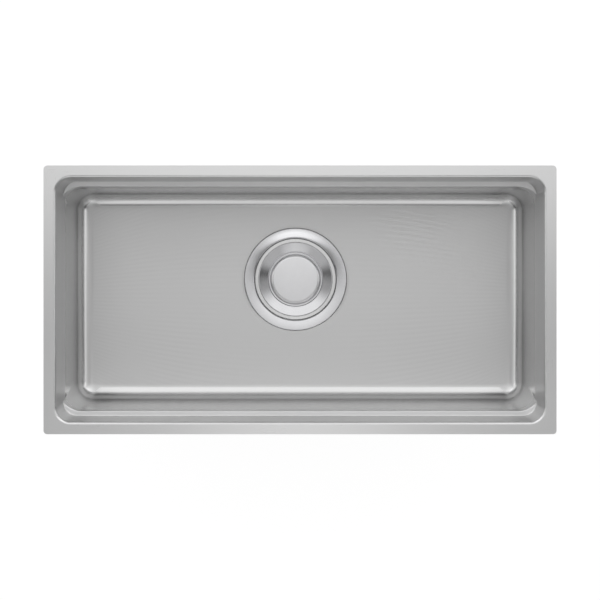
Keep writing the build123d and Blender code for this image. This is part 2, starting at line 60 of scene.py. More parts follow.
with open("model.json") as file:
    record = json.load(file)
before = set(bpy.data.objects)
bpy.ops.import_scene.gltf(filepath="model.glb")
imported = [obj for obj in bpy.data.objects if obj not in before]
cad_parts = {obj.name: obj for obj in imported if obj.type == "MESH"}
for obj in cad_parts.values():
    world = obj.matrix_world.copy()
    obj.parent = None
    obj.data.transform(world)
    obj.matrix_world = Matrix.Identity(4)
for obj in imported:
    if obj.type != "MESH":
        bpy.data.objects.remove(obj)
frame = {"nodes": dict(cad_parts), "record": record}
CAD_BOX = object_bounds()
MM = 0.001
SHEET = 1 * MM

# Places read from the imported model
RIM_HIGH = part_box("sink_bowl")[1]
TRIM_LOW, TRIM_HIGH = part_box("waste_trim")
FLOOR_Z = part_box("pad_floor_left")[1].z + SHEET
DRAIN_X = (TRIM_LOW.x + TRIM_HIGH.x) / 2
DRAIN_Y = (TRIM_LOW.y + TRIM_HIGH.y) / 2
SLOT_COLOURS = {entry["slot"]: entry["base_color"] for entry in frame["record"]["materials"]}

# How finely the meshes are divided
LONG_STEPS = 10
END_STEPS = 6
CORNER_STEPS = 14
LIP_STEPS = 10
LEDGE_STEPS = 26
LEDGE_BEND_STEPS = 8
WALL_STEPS = 8
COVE_STEPS = 16
PAD_EDGE_STEPS = 4
LAND_STEPS = 7
THREAD_STEPS = 8
TURN_STEPS = 160
BEND_STEP = math.radians(9)
SHARP_ANGLE = math.radians(34)
MERGE = 1e-6

# Slope of a thread's flanks, sides of the lid's nut, and small forms as shares of the sizes they belong to
THREAD_SLOPE = 2.0
LID_NUT_SIDES = 6
BEND_SHARE = 0.49
STUD_POINT = 0.4
SEAL_EDGE = 0.3
LID_NUT_CORNER = 0.05
LID_NUT_CHAMFER = 0.12

# Roughness of the bowl's steel by height: the two heights it changes between, its value below them, and how
# many times as far the change reaches at the bowl's ends, which begin END_COVES away from the middle
BOWL_LEVELS = (
    (-3 * MM, -0.2 * MM, 0.39, 1),
    (-85 * MM, -60 * MM, 0.22, 1),
    (FLOOR_Z, FLOOR_Z + 0.9 * MM, 0.47, 6),
)
END_COVES = (350 * MM, 366 * MM)

# Stretch and turn of the brushed steel's shine, and shade of the bowl's outside
BRUSHED_STRETCH = 0.75
BRUSHED_TURN = 0.25
OUTSIDE_SHADE = 0.85

# Where grain, dust and wear begin and end
MITRE_BLUR = 1 * MM
RIM_GRAIN = (-2 * MM, -1 * MM)
LEVEL_FACES = (0.45, 0.75)
DUSTY_FACES = (0.2, 0.9)
WEAR_PATCHES = (0.35, 0.7)

# Roughness of all noise, and how fast the polishing rings change on their way round
NOISE_ROUGHNESS = 0.55
RING_CHANGE = 1.5

# Embossed floor: spacing, drift and reach of its bowed lines, and how much linen and lines show
EMBOSS_AT_ENDS = 0.85
EMBOSS_BOW = 0.9
EMBOSS_DRIFT = 1.4
EMBOSS_FADE = (0.0, 0.5)
EMBOSS_PATCHES = (0.25, 0.6)
LINEN_HEIGHT = 0.8
LINE_HEIGHT = 2.0
LINE_TONE = 0.3

# Range of the noise that is used, shades of the colours, and strength and depth of the bumps
SATIN_TONES = (0.2, 0.8)
POLISH_TONES = (0.3, 0.7)
SKIN_TONES = (0.25, 0.75)
POLISH_SHADES = (0.97, 1.03)
SKIN_SHADES = (0.88, 1.1)
WORN_SHADE = 1.9
DUST_COLOUR = (0.42, 0.41, 0.39, 1.0)
DUST_COVER = 0.25
DUST_ROUGHNESS = 0.2
SKIN_SPREAD = 0.05
BRUSH_BUMP = (0.03, 0.02 * MM)
EMBOSS_BUMP = (0.12, 0.02 * MM)
POLISH_BUMP = (0.05, 0.01 * MM)
SKIN_BUMP = (0.25, 0.08 * MM)

# Floor, backdrop and camera
FLOOR_GAP = 1 * MM
FLOOR_REACH = 6.0
FLOOR_ROUGHNESS = 0.9
FLOOR_SHOWN = 0.9
BACKDROP = (0.03, 0.1)
CAMERA_END = 50.0


def turned_size(node):
    """Outer radius, foot and top of a CAD node turned round the drain, with heights from the bowl's floor."""
    low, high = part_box(node)
    return (high.x - low.x) / 2, low.z - FLOOR_Z, high.z - FLOOR_Z


def length(description, millimetres):
    """Property that holds a length, given here in millimetres."""
    return bpy.props.FloatProperty(
        description=description, default=millimetres * MM, min=0.0, subtype="DISTANCE", unit="LENGTH"
    )


def tilt(description, degrees):
    """Property that holds an angle, given here in degrees."""
    return bpy.props.FloatProperty(
        description=description, default=math.radians(degrees), subtype="ANGLE", unit="ROTATION"
    )


def colour(description, default):
    """Property that holds an opaque colour."""
    return bpy.props.FloatVectorProperty(
        description=description, default=(*default, 1.0), size=4, min=0.0, max=1.0, subtype="COLOR"
    )


def amount(description, default):
    """Property that holds a plain number from zero up."""
    return bpy.props.FloatProperty(description=description, default=default, min=0.0)


def whole(description, default):
    """Property that holds a whole number from three up."""
    return bpy.props.IntProperty(description=description, default=default, min=3)


class BowlSizes(bpy.types.PropertyGroup):
    """Sizes of the pressed bowl and the pads on its outside."""

    rim_band: length("Width of the rim with its rolled lip", 20)
    rim_corner: length("Radius of the rim's outer corners", 6)
    rim_edge: length("Rounding of the rim's cut edge", 0.25)
    lip: length("Roll from the rim into the bowl", 4.5)
    draft: tilt("How far the walls lean in towards the floor", 3.5)
    mouth_corner: length("Radius of the upright corners at the mouth", 24)
    floor_corner: length("Radius of the upright corners near the floor", 30)
    cove: length("Round between walls and floor", 25)
    ledge_depth: length("Ledges below the rim", 58)
    ledge_width: length("Step of the front and back walls", 9)
    ledge_bend: length("Rounding of the ledge's two edges", 4.4)
    ledge_reach: length("Wall above and below the ledge that is shaped with it", 5)
    runout: length("Where the ledge's corner arc leaves the long wall", 32)
    runout_height: length("Height over which the ledge's corner turns into the plain corner", 60)
    recess_depth: length("Pressed seat for the waste", 2.5)
    recess_foot: length("Radius at which the seat's slope starts, under the trim", 89.9)
    recess_top: length("Radius at which the seat's slope meets the floor", 90.7)
    recess_bend: length("Rounding of the seat's edges", 0.6)
    recess_apron: length("Ring of floor round the seat", 4)
    hole_radius: length("Hole for the waste body", 77.5)
    pad_corner: length("Radius of the pads' corners", 8)
    pad_edge: length("Rounding of the pads' outer edge", 1.2)


class WasteSizes(bpy.types.PropertyGroup):
    """Sizes of the waste that is clamped in the floor."""

    trim_sheet: length("Thickness of the polished trim", 0.8)
    trim_slope: tilt("Fall of the trim towards its throat", 4.5)
    trim_turn: length("How far the trim's outer edge reaches below the floor", 0.9)
    trim_edge: length("Outer bend of the trim", 1.2)
    throat: length("Radius of the trim's throat", 72.1)
    throat_bend: length("Rounded edge of the throat", 3)
    skirt: length("How far the trim reaches down the throat", 14)
    body_radius: length("Threaded collar of the body", 76)
    body_wall: length("Wall of the moulded body", 3)
    bore: length("Inside of the body below its seat", 66.5)
    body_taper: length("How far the body narrows to its foot", 3)
    seat_depth: length("Basket seat below the floor", 18)
    collar_end: length("Lower end of the collar below the floor", 24)
    thread_pitch: length("Rise of the collar's moulded thread in one turn", 3.6)
    thread_depth: length("Depth of the moulded threads", 0.9)
    pipe: length("Outside of the tail pipe", 20)
    pipe_bore: length("Inside of the tail pipe", 18)
    standpipe: length("Outside of the standpipe", 23)
    standpipe_top: length("Top of the standpipe below the floor", 84)
    spigot: length("Threaded outlet of the body", 24)
    body_floor: length("Inside bottom of the body below the floor", 118)
    edge: length("Small rounding of moulded edges", 0.5)
    body_edge: length("Round of the body's foot", 6)
    ribs: whole("Ribs under the body", 6)
    rib_thickness: length("Thickness of the ribs under the body", 3)
    rib_gap: length("Room between the ribs and the union nut", 2)
    gasket_bore: length("Inside of the upper gasket", 77.5)
    nut_bore: length("Inside of the clamp nut, slip ring and lower gasket", 76.15)
    nut_width: length("Clamp nut's ring outside the body's collar", 9)
    lugs: whole("Lugs round the clamp nut", 8)
    lug_width: length("Width of a lug", 16)
    lug_reach: length("How far a lug stands out", 5)
    lug_bend: length("Rounding of the lugs' upright edges", 1.5)
    basket_bore: length("Inside of the ring that carries the basket", 60.2)
    basket_chamfer: length("Chamfer inside that ring", 1)
    pipe_length: length("Tail pipe below its neck", 38)
    neck_height: length("Relieved neck under the pipe's flange", 4)
    neck_relief: length("Depth of the relieved neck", 0.4)
    outlet_nut_wall: length("Union nut outside its thread", 6)
    lip_gap: length("Union nut's lip round the pipe", 0.3)
    flutes: whole("Flutes round the union nut", 12)
    flute_radius: length("Round of a flute", 3)
    flute_depth: length("Depth of a flute", 1.8)


class LidSizes(bpy.types.PropertyGroup):
    """Sizes of the lid that lies in the waste."""

    sheet: length("Thickness of the dished plate", 1)
    rim_depth: length("Edge of the dish below the floor", 3.5)
    rim_bend: length("Bend of the dish's edge", 1.4)
    curl: length("Turned-down edge of the dish", 3)
    seat_radius: length("Where the slope of the dish ends", 47)
    seat_depth: length("Flat of the dish below the floor", 10.5)
    seat_bend: length("Round between slope and flat", 3)
    knob_edge: length("Rounded shoulder of the knob", 7)
    knob_sheet: length("Wall of the hollow knob", 1.2)
    stud: length("Radius of the knob's stud", 2.5)
    stud_gap: length("Clearance round the stud", 0.1)
    stud_pitch: length("Rise of the stud's thread in one turn", 0.8)


class Finishes(bpy.types.PropertyGroup):
    """Colours of the sink's materials."""

    bowl: colour("Satin steel of the bowl", SLOT_COLOURS["bowl_steel"])
    polished: colour("Mirror steel of trim and lid", (0.56, 0.56, 0.57))
    knob: colour("Spun steel of the lid's knob", (0.69, 0.69, 0.7))
    basket: colour("Bright steel of the strainer", SLOT_COLOURS["basket_steel"])
    body: colour("Moulded waste body", SLOT_COLOURS["body_plastic"])
    nut: colour("Moulded nuts", SLOT_COLOURS["nut_plastic"])
    trap: colour("Moulded trap cup", SLOT_COLOURS["trap_plastic"])
    pipe: colour("Tail pipe", SLOT_COLOURS["pipe_plastic"])
    seal: colour("Gaskets and feet", SLOT_COLOURS["seal_rubber"])
    pad: colour("Sound-deadening pads", SLOT_COLOURS["pad_rubber"])
    emboss_pitch: length("Spacing of the bowed lines in the floor, which widens to the middle", 5.7)


class StageSettings(bpy.types.PropertyGroup):
    """Floor, light and camera."""

    floor_colour: colour("Plain floor and background", (1.0, 1.0, 1.0))
    camera_height: length("Camera above the rim", 2600)
    camera_back: length("Camera towards the back of the sink", 81)
    lens: amount("Focal length in millimetres", 95.3)
    frame_shift: bpy.props.FloatProperty(
        description="Vertical lens shift that centres the sink", default=-0.0827
    )
    back_high: amount("Radiance of the panel high behind the sink", 1.25)
    back_low: amount("Radiance of the two panels low behind the sink's corners", 1.45)
    front: amount("Radiance of the panel before the sink", 1.0)
    overhead: amount("Radiance of the small panel over the sink", 1.4)
    side: amount("Radiance of the panel on either side of the sink", 1.6)
    front_side: amount("Radiance of the small panels before the sink's corners", 0.6)
    floor_glow: amount("Radiance of the floor as the camera and the steel see it", 1.04)
    surround: amount("Radiance of the room round the sink", 0.08)


# Node trees


def feed(tree, socket, value):
    """Links a socket to another socket, or sets its value."""
    if isinstance(value, bpy.types.NodeSocket):
        tree.links.new(value, socket)
    else:
        socket.default_value = value


def add_node(tree, kind, inputs=None, **settings):
    """New node with its settings, and with values or links on the inputs named or numbered."""
    node = tree.nodes.new(kind)
    for name, value in settings.items():
        setattr(node, name, value)
    for key, value in (inputs or {}).items():
        feed(tree, node.inputs[key], value)
    return node


def calculate(tree, operation, first, second=0.0):
    """Output of a math node."""
    return add_node(tree, "ShaderNodeMath", {0: first, 1: second}, operation=operation).outputs["Value"]


def plus(tree, first, second):
    """Sum of two numbers."""
    return calculate(tree, "ADD", first, second)


def minus(tree, first, second):
    """Difference of two numbers."""
    return calculate(tree, "SUBTRACT", first, second)


def times(tree, first, second):
    """Product of two numbers."""
    return calculate(tree, "MULTIPLY", first, second)


def average(tree, first, second):
    """Mean of two numbers."""
    return plus(tree, times(tree, first, 0.5), times(tree, second, 0.5))


def size_of(tree, value):
    """A number without its sign."""
    return calculate(tree, "ABSOLUTE", value)


def remap(tree, value, low, high, new_low=0.0, new_high=1.0):
    """Output of a map range node that stays within the new range."""
    inputs = {"Value": value, "From Min": low, "From Max": high, "To Min": new_low, "To Max": new_high}
    return add_node(tree, "ShaderNodeMapRange", inputs).outputs["Result"]


def soft_mask(tree, value, low, high):
    """Smooth rise from zero at low to one at high."""
    inputs = {"Value": value, "From Min": low, "From Max": high}
    return add_node(tree, "ShaderNodeMapRange", inputs, interpolation_type="SMOOTHSTEP").outputs["Result"]


def blend(tree, factor, first, second, data_type="FLOAT", ending="Float"):
    """Mix of two numbers, or of what another data type names, whose sockets have that ending."""
    node = add_node(tree, "ShaderNodeMix", data_type=data_type)
    sockets = {socket.identifier: socket for socket in (*node.inputs, *node.outputs)}
    feed(tree, sockets["Factor_Float"], factor)
    feed(tree, sockets[f"A_{ending}"], first)
    feed(tree, sockets[f"B_{ending}"], second)
    return sockets[f"Result_{ending}"]


def blend_colours(tree, factor, first, second):
    """Mix of two colours."""
    return blend(tree, factor, first, second, "RGBA", "Color")


def noise(tree, vector, scale, detail):
    """Value of a noise texture."""
    inputs = {"Vector": vector, "Scale": scale, "Detail": detail, "Roughness": NOISE_ROUGHNESS}
    return add_node(tree, "ShaderNodeTexNoise", inputs).outputs["Fac"]


def own_point(tree):
    """The surface point in the object's own metres."""
    return add_node(tree, "ShaderNodeTexCoord").outputs["Object"]


def axes(tree, vector):
    """A vector's X, Y and Z."""
    return add_node(tree, "ShaderNodeSeparateXYZ", {"Vector": vector}).outputs


def joined(tree, x, y, z=0.0):
    """Vector from its numbers."""
    return add_node(tree, "ShaderNodeCombineXYZ", {"X": x, "Y": y, "Z": z}).outputs["Vector"]


def facing_up(tree):
    """How far the surface faces up, one for a level top and less than zero for an underside."""
    return axes(tree, add_node(tree, "ShaderNodeNewGeometry").outputs["Normal"])["Z"]


def new_group(name, inputs, outputs):
    """Empty shader node group with number sockets, and its input and output nodes."""
    group = bpy.data.node_groups.new(name, "ShaderNodeTree")
    for socket_name, default in inputs.items():
        socket = group.interface.new_socket(socket_name, in_out="INPUT", socket_type="NodeSocketFloat")
        socket.default_value = default
    for socket_name in outputs:
        group.interface.new_socket(socket_name, in_out="OUTPUT", socket_type="NodeSocketFloat")
    return group, group.nodes.new("NodeGroupInput").outputs, group.nodes.new("NodeGroupOutput").inputs


def brushed_grain_group():
    """Fine brush lines, level on walls and along the floor and the rim's sides, with patches of sheen."""
    group, given, made = new_group("brushed_grain", {"Fineness": 900.0, "Run": 14.0}, ["Lines", "Patches"])
    point = own_point(group)
    x, y, z = axes(group, point)
    slow_x, slow_y = (times(group, axis, given["Run"]) for axis in (x, y))
    fine_x, fine_y, fine_z = (times(group, axis, given["Fineness"]) for axis in (x, y, z))
    ways = (
        joined(group, slow_x, fine_y),
        joined(group, fine_x, slow_y),
        joined(group, slow_x, slow_y, fine_z),
    )
    lengthways, sideways, upright = (noise(group, way, scale=1.0, detail=4.0) for way in ways)
    mitre = minus(group, size_of(group, x), size_of(group, y))
    corner = RIM_HIGH.x - RIM_HIGH.y
    ends = soft_mask(group, mitre, corner - MITRE_BLUR, corner + MITRE_BLUR)
    ends = times(group, ends, soft_mask(group, z, *RIM_GRAIN))
    level = soft_mask(group, size_of(group, facing_up(group)), *LEVEL_FACES)
    feed(group, made["Lines"], blend(group, level, upright, blend(group, ends, lengthways, sideways)))
    feed(group, made["Patches"], noise(group, point, scale=9.0, detail=3.0))


def spun_polish_group():
    """Hair-fine rings left by polishing a spun piece on a lathe, and smears."""
    group, given, made = new_group("spun_polish", {"Fineness": 2600.0}, ["Rings", "Smears"])
    point = own_point(group)
    x, y, z = axes(group, point)
    across = minus(group, x, DRAIN_X)
    back = minus(group, y, DRAIN_Y)
    spoke = joined(group, across, back)
    radius = add_node(group, "ShaderNodeVectorMath", {0: spoke}, operation="LENGTH").outputs["Value"]
    turn = times(group, calculate(group, "ARCTAN2", back, across), RING_CHANGE)
    ring = joined(group, times(group, radius, given["Fineness"]), turn, times(group, z, given["Fineness"]))
    feed(group, made["Rings"], noise(group, ring, scale=1.0, detail=3.0))
    feed(group, made["Smears"], noise(group, point, scale=38.0, detail=4.0))


def moulded_skin_group():
    """Fine grain of a moulded or pressed skin, with slow changes of tone and scattered dust."""
    group, given, made = new_group("moulded_skin", {"Grain": 1800.0}, ["Grain", "Tone", "Dust"])
    point = own_point(group)
    lying = soft_mask(group, facing_up(group), *DUSTY_FACES)
    feed(group, made["Grain"], noise(group, point, given["Grain"], detail=2.0))
    feed(group, made["Tone"], noise(group, point, scale=24.0, detail=4.0))
    feed(group, made["Dust"], times(group, lying, noise(group, point, scale=160.0, detail=6.0)))


def worn_edges_group():
    """Mask of the outer edges that rub bright, from the mesh's own curvature."""
    group, given, made = new_group("worn_edges", {"Start": 0.52, "End": 0.6}, ["Mask"])
    pointed = add_node(group, "ShaderNodeNewGeometry").outputs["Pointiness"]
    rubbed = soft_mask(group, pointed, given["Start"], given["End"])
    patches = noise(group, own_point(group), scale=120.0, detail=5.0)
    feed(group, made["Mask"], times(group, rubbed, soft_mask(group, patches, *WEAR_PATCHES)))


def floor_emboss_group():
    """Cloth-like pattern pressed into the bowl's floor, and the bowed lines that it shows from afar."""
    pitches = {"Linen pitch": 0.8 * MM, "Line pitch": 5.7 * MM}
    group, given, made = new_group("floor_emboss", pitches, ["Linen", "Lines"])
    point = own_point(group)
    place = axes(group, point)
    wave = calculate(group, "DIVIDE", 2 * math.pi, given["Linen pitch"])
    rows, columns = (calculate(group, "SINE", times(group, place[axis], wave)) for axis in "YX")
    feed(group, made["Linen"], times(group, rows, columns))
    share = calculate(group, "DIVIDE", place["X"], RIM_HIGH.x)
    bow = minus(group, 1.0, times(group, share, share))
    spread = plus(group, EMBOSS_AT_ENDS, times(group, bow, EMBOSS_BOW))
    spacing = times(group, spread, given["Line pitch"])
    turns = times(group, calculate(group, "DIVIDE", place["Y"], spacing), 2 * math.pi)
    drift = times(group, noise(group, point, scale=3.0, detail=2.0), EMBOSS_DRIFT)
    line = calculate(group, "SINE", plus(group, turns, drift))
    fade = soft_mask(group, size_of(group, share), *EMBOSS_FADE)
    patches = soft_mask(group, noise(group, point, scale=11.0, detail=2.0), *EMBOSS_PATCHES)
    feed(group, made["Lines"], times(group, line, times(group, fade, patches)))


def new_material(name):
    """Material with one Principled BSDF, its node tree and that shader."""
    material = bpy.data.materials.new(name)
    material.use_nodes = True
    tree = material.node_tree
    tree.nodes.clear()
    shader = tree.nodes.new("ShaderNodeBsdfPrincipled")
    surface = tree.nodes.new("ShaderNodeOutputMaterial")
    tree.links.new(shader.outputs["BSDF"], surface.inputs["Surface"])
    return material, tree, shader


def place_group(tree, name, **inputs):
    """Outputs of a node group placed in a material with its own values."""
    node = tree.nodes.new("ShaderNodeGroup")
    node.node_tree = bpy.data.node_groups[name]
    for key, value in inputs.items():
        feed(tree, node.inputs[key], value)
    return node.outputs


def shaded(rgba, factor):
    """A colour made lighter or darker."""
    return tuple(min(1.0, channel * factor) for channel in rgba[:3]) + (1.0,)


def shades(tree, tone, rgba, darker, lighter):
    """A colour that changes with the tone, from a darker shade to a lighter one."""
    return blend_colours(tree, tone, shaded(rgba, darker), shaded(rgba, lighter))


def bump(tree, shader, height, strength, distance):
    """Feeds a height into the shader's normal."""
    inputs = {"Height": height, "Strength": strength, "Distance": distance}
    feed(tree, shader.inputs["Normal"], add_node(tree, "ShaderNodeBump", inputs).outputs["Normal"])


def satin_steel(name, rgba, roughness, spread, line_pitch=0.0, levels=(), cloud=0.03):
    """Brushed sheet steel, embossed where its lines have a pitch, with another roughness below each level."""
    material, tree, shader = new_material(name)
    grain = place_group(tree, "brushed_grain")
    tone = average(tree, grain["Lines"], grain["Patches"])
    height = grain["Lines"]
    if line_pitch:
        emboss = place_group(tree, "floor_emboss", **{"Line pitch": line_pitch})
        height = plus(tree, height, times(tree, emboss["Linen"], LINEN_HEIGHT))
        height = plus(tree, height, times(tree, emboss["Lines"], LINE_HEIGHT))
        tone = plus(tree, tone, times(tree, emboss["Lines"], LINE_TONE))
    clouds = remap(tree, tone, *SATIN_TONES)
    feed(tree, shader.inputs["Base Color"], shades(tree, clouds, rgba, 1 - cloud, 1 + cloud))
    for low, high, below, stretch in levels:
        place = axes(tree, own_point(tree))
        ends = soft_mask(tree, size_of(tree, place["X"]), *END_COVES)
        reach = blend(tree, ends, high - low, (high - low) * stretch)
        rise = calculate(tree, "DIVIDE", minus(tree, place["Z"], low), reach)
        roughness = blend(tree, soft_mask(tree, rise, 0.0, 1.0), below, roughness)
    uneven = remap(tree, tone, *SATIN_TONES, -spread, spread)
    feed(tree, shader.inputs["Roughness"], plus(tree, roughness, uneven))
    shader.inputs["Metallic"].default_value = 1.0
    if levels:
        shader.inputs["Anisotropic"].default_value = BRUSHED_STRETCH
        shader.inputs["Anisotropic Rotation"].default_value = BRUSHED_TURN
    bump(tree, shader, height, *(EMBOSS_BUMP if line_pitch else BRUSH_BUMP))
    return material


def mirror_steel(name, rgba, roughness, spread):
    """Spun and polished steel."""
    material, tree, shader = new_material(name)
    polish = place_group(tree, "spun_polish")
    smears = remap(tree, polish["Smears"], *POLISH_TONES)
    feed(tree, shader.inputs["Base Color"], shades(tree, smears, rgba, *POLISH_SHADES))
    tone = average(tree, polish["Rings"], polish["Smears"])
    feed(tree, shader.inputs["Roughness"],
         remap(tree, tone, *POLISH_TONES, roughness - spread, roughness + spread))
    shader.inputs["Metallic"].default_value = 1.0
    bump(tree, shader, polish["Rings"], *POLISH_BUMP)
    return material


def moulded_plastic(name, rgba, roughness, grain, wear):
    """Moulded plastic or rubber with rubbed edges and a little dust."""
    material, tree, shader = new_material(name)
    skin = place_group(tree, "moulded_skin", Grain=grain)
    edges = place_group(tree, "worn_edges")
    base = shades(tree, remap(tree, skin["Tone"], *SKIN_TONES), rgba, *SKIN_SHADES)
    base = blend_colours(tree, times(tree, edges["Mask"], wear), base, shaded(rgba, WORN_SHADE))
    base = blend_colours(tree, times(tree, skin["Dust"], DUST_COVER), base, DUST_COLOUR)
    feed(tree, shader.inputs["Base Color"], base)
    uneven = remap(tree, skin["Tone"], *SKIN_TONES, roughness - SKIN_SPREAD, roughness + SKIN_SPREAD)
    feed(tree, shader.inputs["Roughness"], plus(tree, uneven, times(tree, skin["Dust"], DUST_ROUGHNESS)))
    bump(tree, shader, skin["Grain"], *SKIN_BUMP)
    return material


def build_groups():
    """Every shared node group, once."""
    brushed_grain_group()
    spun_polish_group()
    moulded_skin_group()
    worn_edges_group()
    floor_emboss_group()


def finish_of(name):
    """The material of that name, made on first use from the scene's colours."""
    if name in bpy.data.materials:
        return bpy.data.materials[name]
    if "brushed_grain" not in bpy.data.node_groups:
        build_groups()
    colours = bpy.context.scene.sink_finishes
    pitch = colours.emboss_pitch
    bowl = colours.bowl
    outside = shaded(bowl, OUTSIDE_SHADE)
    maker, rgba, settings = {
        "satin_bowl": (satin_steel, bowl, {"roughness": 0.28, "spread": 0.015, "levels": BOWL_LEVELS}),
        "embossed_floor": (satin_steel, bowl, {"roughness": 0.47, "spread": 0.05, "line_pitch": pitch}),
        "dull_outside": (satin_steel, outside, {"roughness": 0.4, "spread": 0.1, "cloud": 0.14}),
        "mirror_polish": (mirror_steel, colours.polished, {"roughness": 0.12, "spread": 0.04}),
        "spun_steel": (mirror_steel, colours.knob, {"roughness": 0.34, "spread": 0.05}),
        "bright_steel": (mirror_steel, colours.basket, {"roughness": 0.2, "spread": 0.07}),
        "grained_body": (moulded_plastic, colours.body, {"roughness": 0.48, "grain": 1800.0, "wear": 0.35}),
        "grained_nut": (moulded_plastic, colours.nut, {"roughness": 0.42, "grain": 1500.0, "wear": 0.45}),
        "grained_trap": (moulded_plastic, colours.trap, {"roughness": 0.45, "grain": 1800.0, "wear": 0.3}),
        "grained_pipe": (moulded_plastic, colours.pipe, {"roughness": 0.4, "grain": 2200.0, "wear": 0.2}),
        "soft_seal": (moulded_plastic, colours.seal, {"roughness": 0.7, "grain": 2600.0, "wear": 0.2}),
        "soft_pad": (moulded_plastic, colours.pad, {"roughness": 0.78, "grain": 900.0, "wear": 0.3}),
    }[name]
    return maker(name, rgba, **settings)


# Outlines and meshes


def rounded(points, bends, closed=False):
    """Line through 2D points whose corners are bent to their radii. An open line keeps its two ends sharp."""
    corners = [Vector(point) for point in points]
    count = len(corners)
    line = [] if closed else [corners[0]]
    inner = range(count) if closed else range(1, count - 1)
    for index, bend in zip(inner, bends):
        corner = corners[index]
        back = (corners[index - 1] - corner).normalized()
        ahead = (corners[(index + 1) % count] - corner).normalized()
        turn = math.pi - back.angle(ahead)
        if bend <= 0 or turn < MERGE:
            line.append(corner)
            continue
        reach = bend * math.tan(turn / 2)
        centre = corner + (back + ahead).normalized() * (bend / math.cos(turn / 2))
        start = corner + back * reach - centre
        way = 1 if back.x * ahead.y - back.y * ahead.x < 0 else -1
        steps = max(2, math.ceil(turn / BEND_STEP))
        for step in range(steps + 1):
            line.append(centre + Matrix.Rotation(way * turn * step / steps, 2) @ start)
    if not closed:
        line.append(corners[-1])
    return line


def beside(points, distance):
    """Corners of the line that runs beside an open line, to its left by a distance."""
    corners = [Vector(point) for point in points]
    normals = []
    for start, end in zip(corners, corners[1:]):
        way = (end - start).normalized()
        normals.append(Vector((-way.y, way.x)))
    shifted = [corners[0] + normals[0] * distance]
    for corner, before, after in zip(corners[1:], normals, normals[1:]):
        shifted.append(corner + (before + after) * (distance / (1 + before.dot(after))))
    shifted.append(corners[-1] + normals[-1] * distance)
    return shifted


def sheet_outline(points, bends, sheet):
    """Closed outline of a bent sheet that lies to the left of an open line."""
    other_bends = []
    for before, corner, after, bend in zip(points, points[1:], points[2:], bends):
        first = Vector(corner) - Vector(before)
        second = Vector(after) - Vector(corner)
        left_turn = first.x * second.y - first.y * second.x > 0
        other_bends.append(bend - sheet if left_turn else bend + sheet)
    return rounded(points, bends) + rounded(beside(points, sheet), other_bends)[::-1]


def spokes(number):
    """Angles of evenly spread spokes, from the X axis."""
    return [2 * math.pi * index / number for index in range(number)]


def spin(bm, outline, closed=True, shape=None):
    """Turns an outline of radius and height round the drain axis. A shape, if given, changes its radii."""
    rings = []
    for turn in spokes(TURN_STEPS):
        ring = []
        for radius, height in outline:
            out = shape(radius, height, turn) if shape else radius
            place = (DRAIN_X + out * math.cos(turn), DRAIN_Y + out * math.sin(turn), FLOOR_Z + height)
            ring.append(bm.verts.new(place))
        rings.append(ring)
    last = len(outline) if closed else len(outline) - 1
    for ring, following in zip(rings, rings[1:] + rings[:1]):
        for index in range(last):
            after = (index + 1) % len(outline)
            if max(outline[index][0], outline[after][0]) > MERGE:
                bm.faces.new((ring[index], following[index], following[after], ring[after]))
    return rings


def finished_mesh(bm, name, *materials):
    """Mesh with merged points, outward faces, smooth shading up to the sharp angle and its materials."""
    bmesh.ops.remove_doubles(bm, verts=bm.verts, dist=MERGE)
    bmesh.ops.recalc_face_normals(bm, faces=bm.faces)
    mesh = bpy.data.meshes.new(name)
    bm.to_mesh(mesh)
    bm.free()
    mesh.shade_smooth()
    mesh.set_sharp_from_angle(angle=SHARP_ANGLE)
    for material in materials:
        mesh.materials.append(material)
    return mesh


def place_piece(name, mesh, body, slot, *nodes):
    """Object for a mesh that rides on a body and hides the CAD nodes it stands for. Its slot is not used."""
    piece = bpy.data.objects.new(name, mesh)
    bpy.context.scene.collection.objects.link(piece)
    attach(piece, body)
    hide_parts(*nodes)
    return piece


def turned_piece(name, outline, material, body, slot, node, shape=None):
    """Piece spun from one closed outline."""
    bm = bmesh.new()
    spin(bm, outline, shape=shape)
    place_piece(name, finished_mesh(bm, name, finish_of(material)), body, slot, node)


def edged_ring(inner, outer, foot, top, edge):
    """Closed outline of a ring with softened edges."""
    return rounded([(inner, foot), (outer, foot), (outer, top), (inner, top)], [edge] * 4, closed=True)


# Bowl


def level_loop(half_x, half_y, run, drop, height):
    """Points round a level section. Corner arcs leave the long walls at run and meet the ends at drop."""
    radius = (run * run + drop * drop) / (2 * drop)
    sweep = math.atan2(run, radius - drop)
    quarter = [((half_x - run) * step / LONG_STEPS, half_y) for step in range(LONG_STEPS)]
    for step in range(CORNER_STEPS + 1):
        turn = sweep * step / CORNER_STEPS
        quarter.append((half_x - run + radius * math.sin(turn), half_y - radius + radius * math.cos(turn)))
    quarter += [(half_x, (half_y - drop) * (1 - step / END_STEPS)) for step in range(1, END_STEPS + 1)]
    loop = quarter[:-1]
    loop += [(x, -y) for x, y in quarter[:0:-1]]
    loop += [(-x, -y) for x, y in quarter[:-1]]
    loop += [(-x, y) for x, y in quarter[:0:-1]]
    return [Vector((x, y, height)) for x, y in loop]


def between(first, second, share):
    """Loop that lies between two loops."""
    return [start.lerp(end, share) for start, end in zip(first, second)]


def bent_corner(before, corner, after, bend):
    """Points round a corner, bent as far as its two sides allow."""
    back = before - corner
    ahead = after - corner
    reach = min(bend, BEND_SHARE * back.length, BEND_SHARE * ahead.length)
    start = corner + back.normalized() * reach
    end = corner + ahead.normalized() * reach
    shares = [step / LEDGE_BEND_STEPS for step in range(LEDGE_BEND_STEPS + 1)]
    return [start.lerp(corner, share).lerp(corner.lerp(end, share), share) for share in shares]


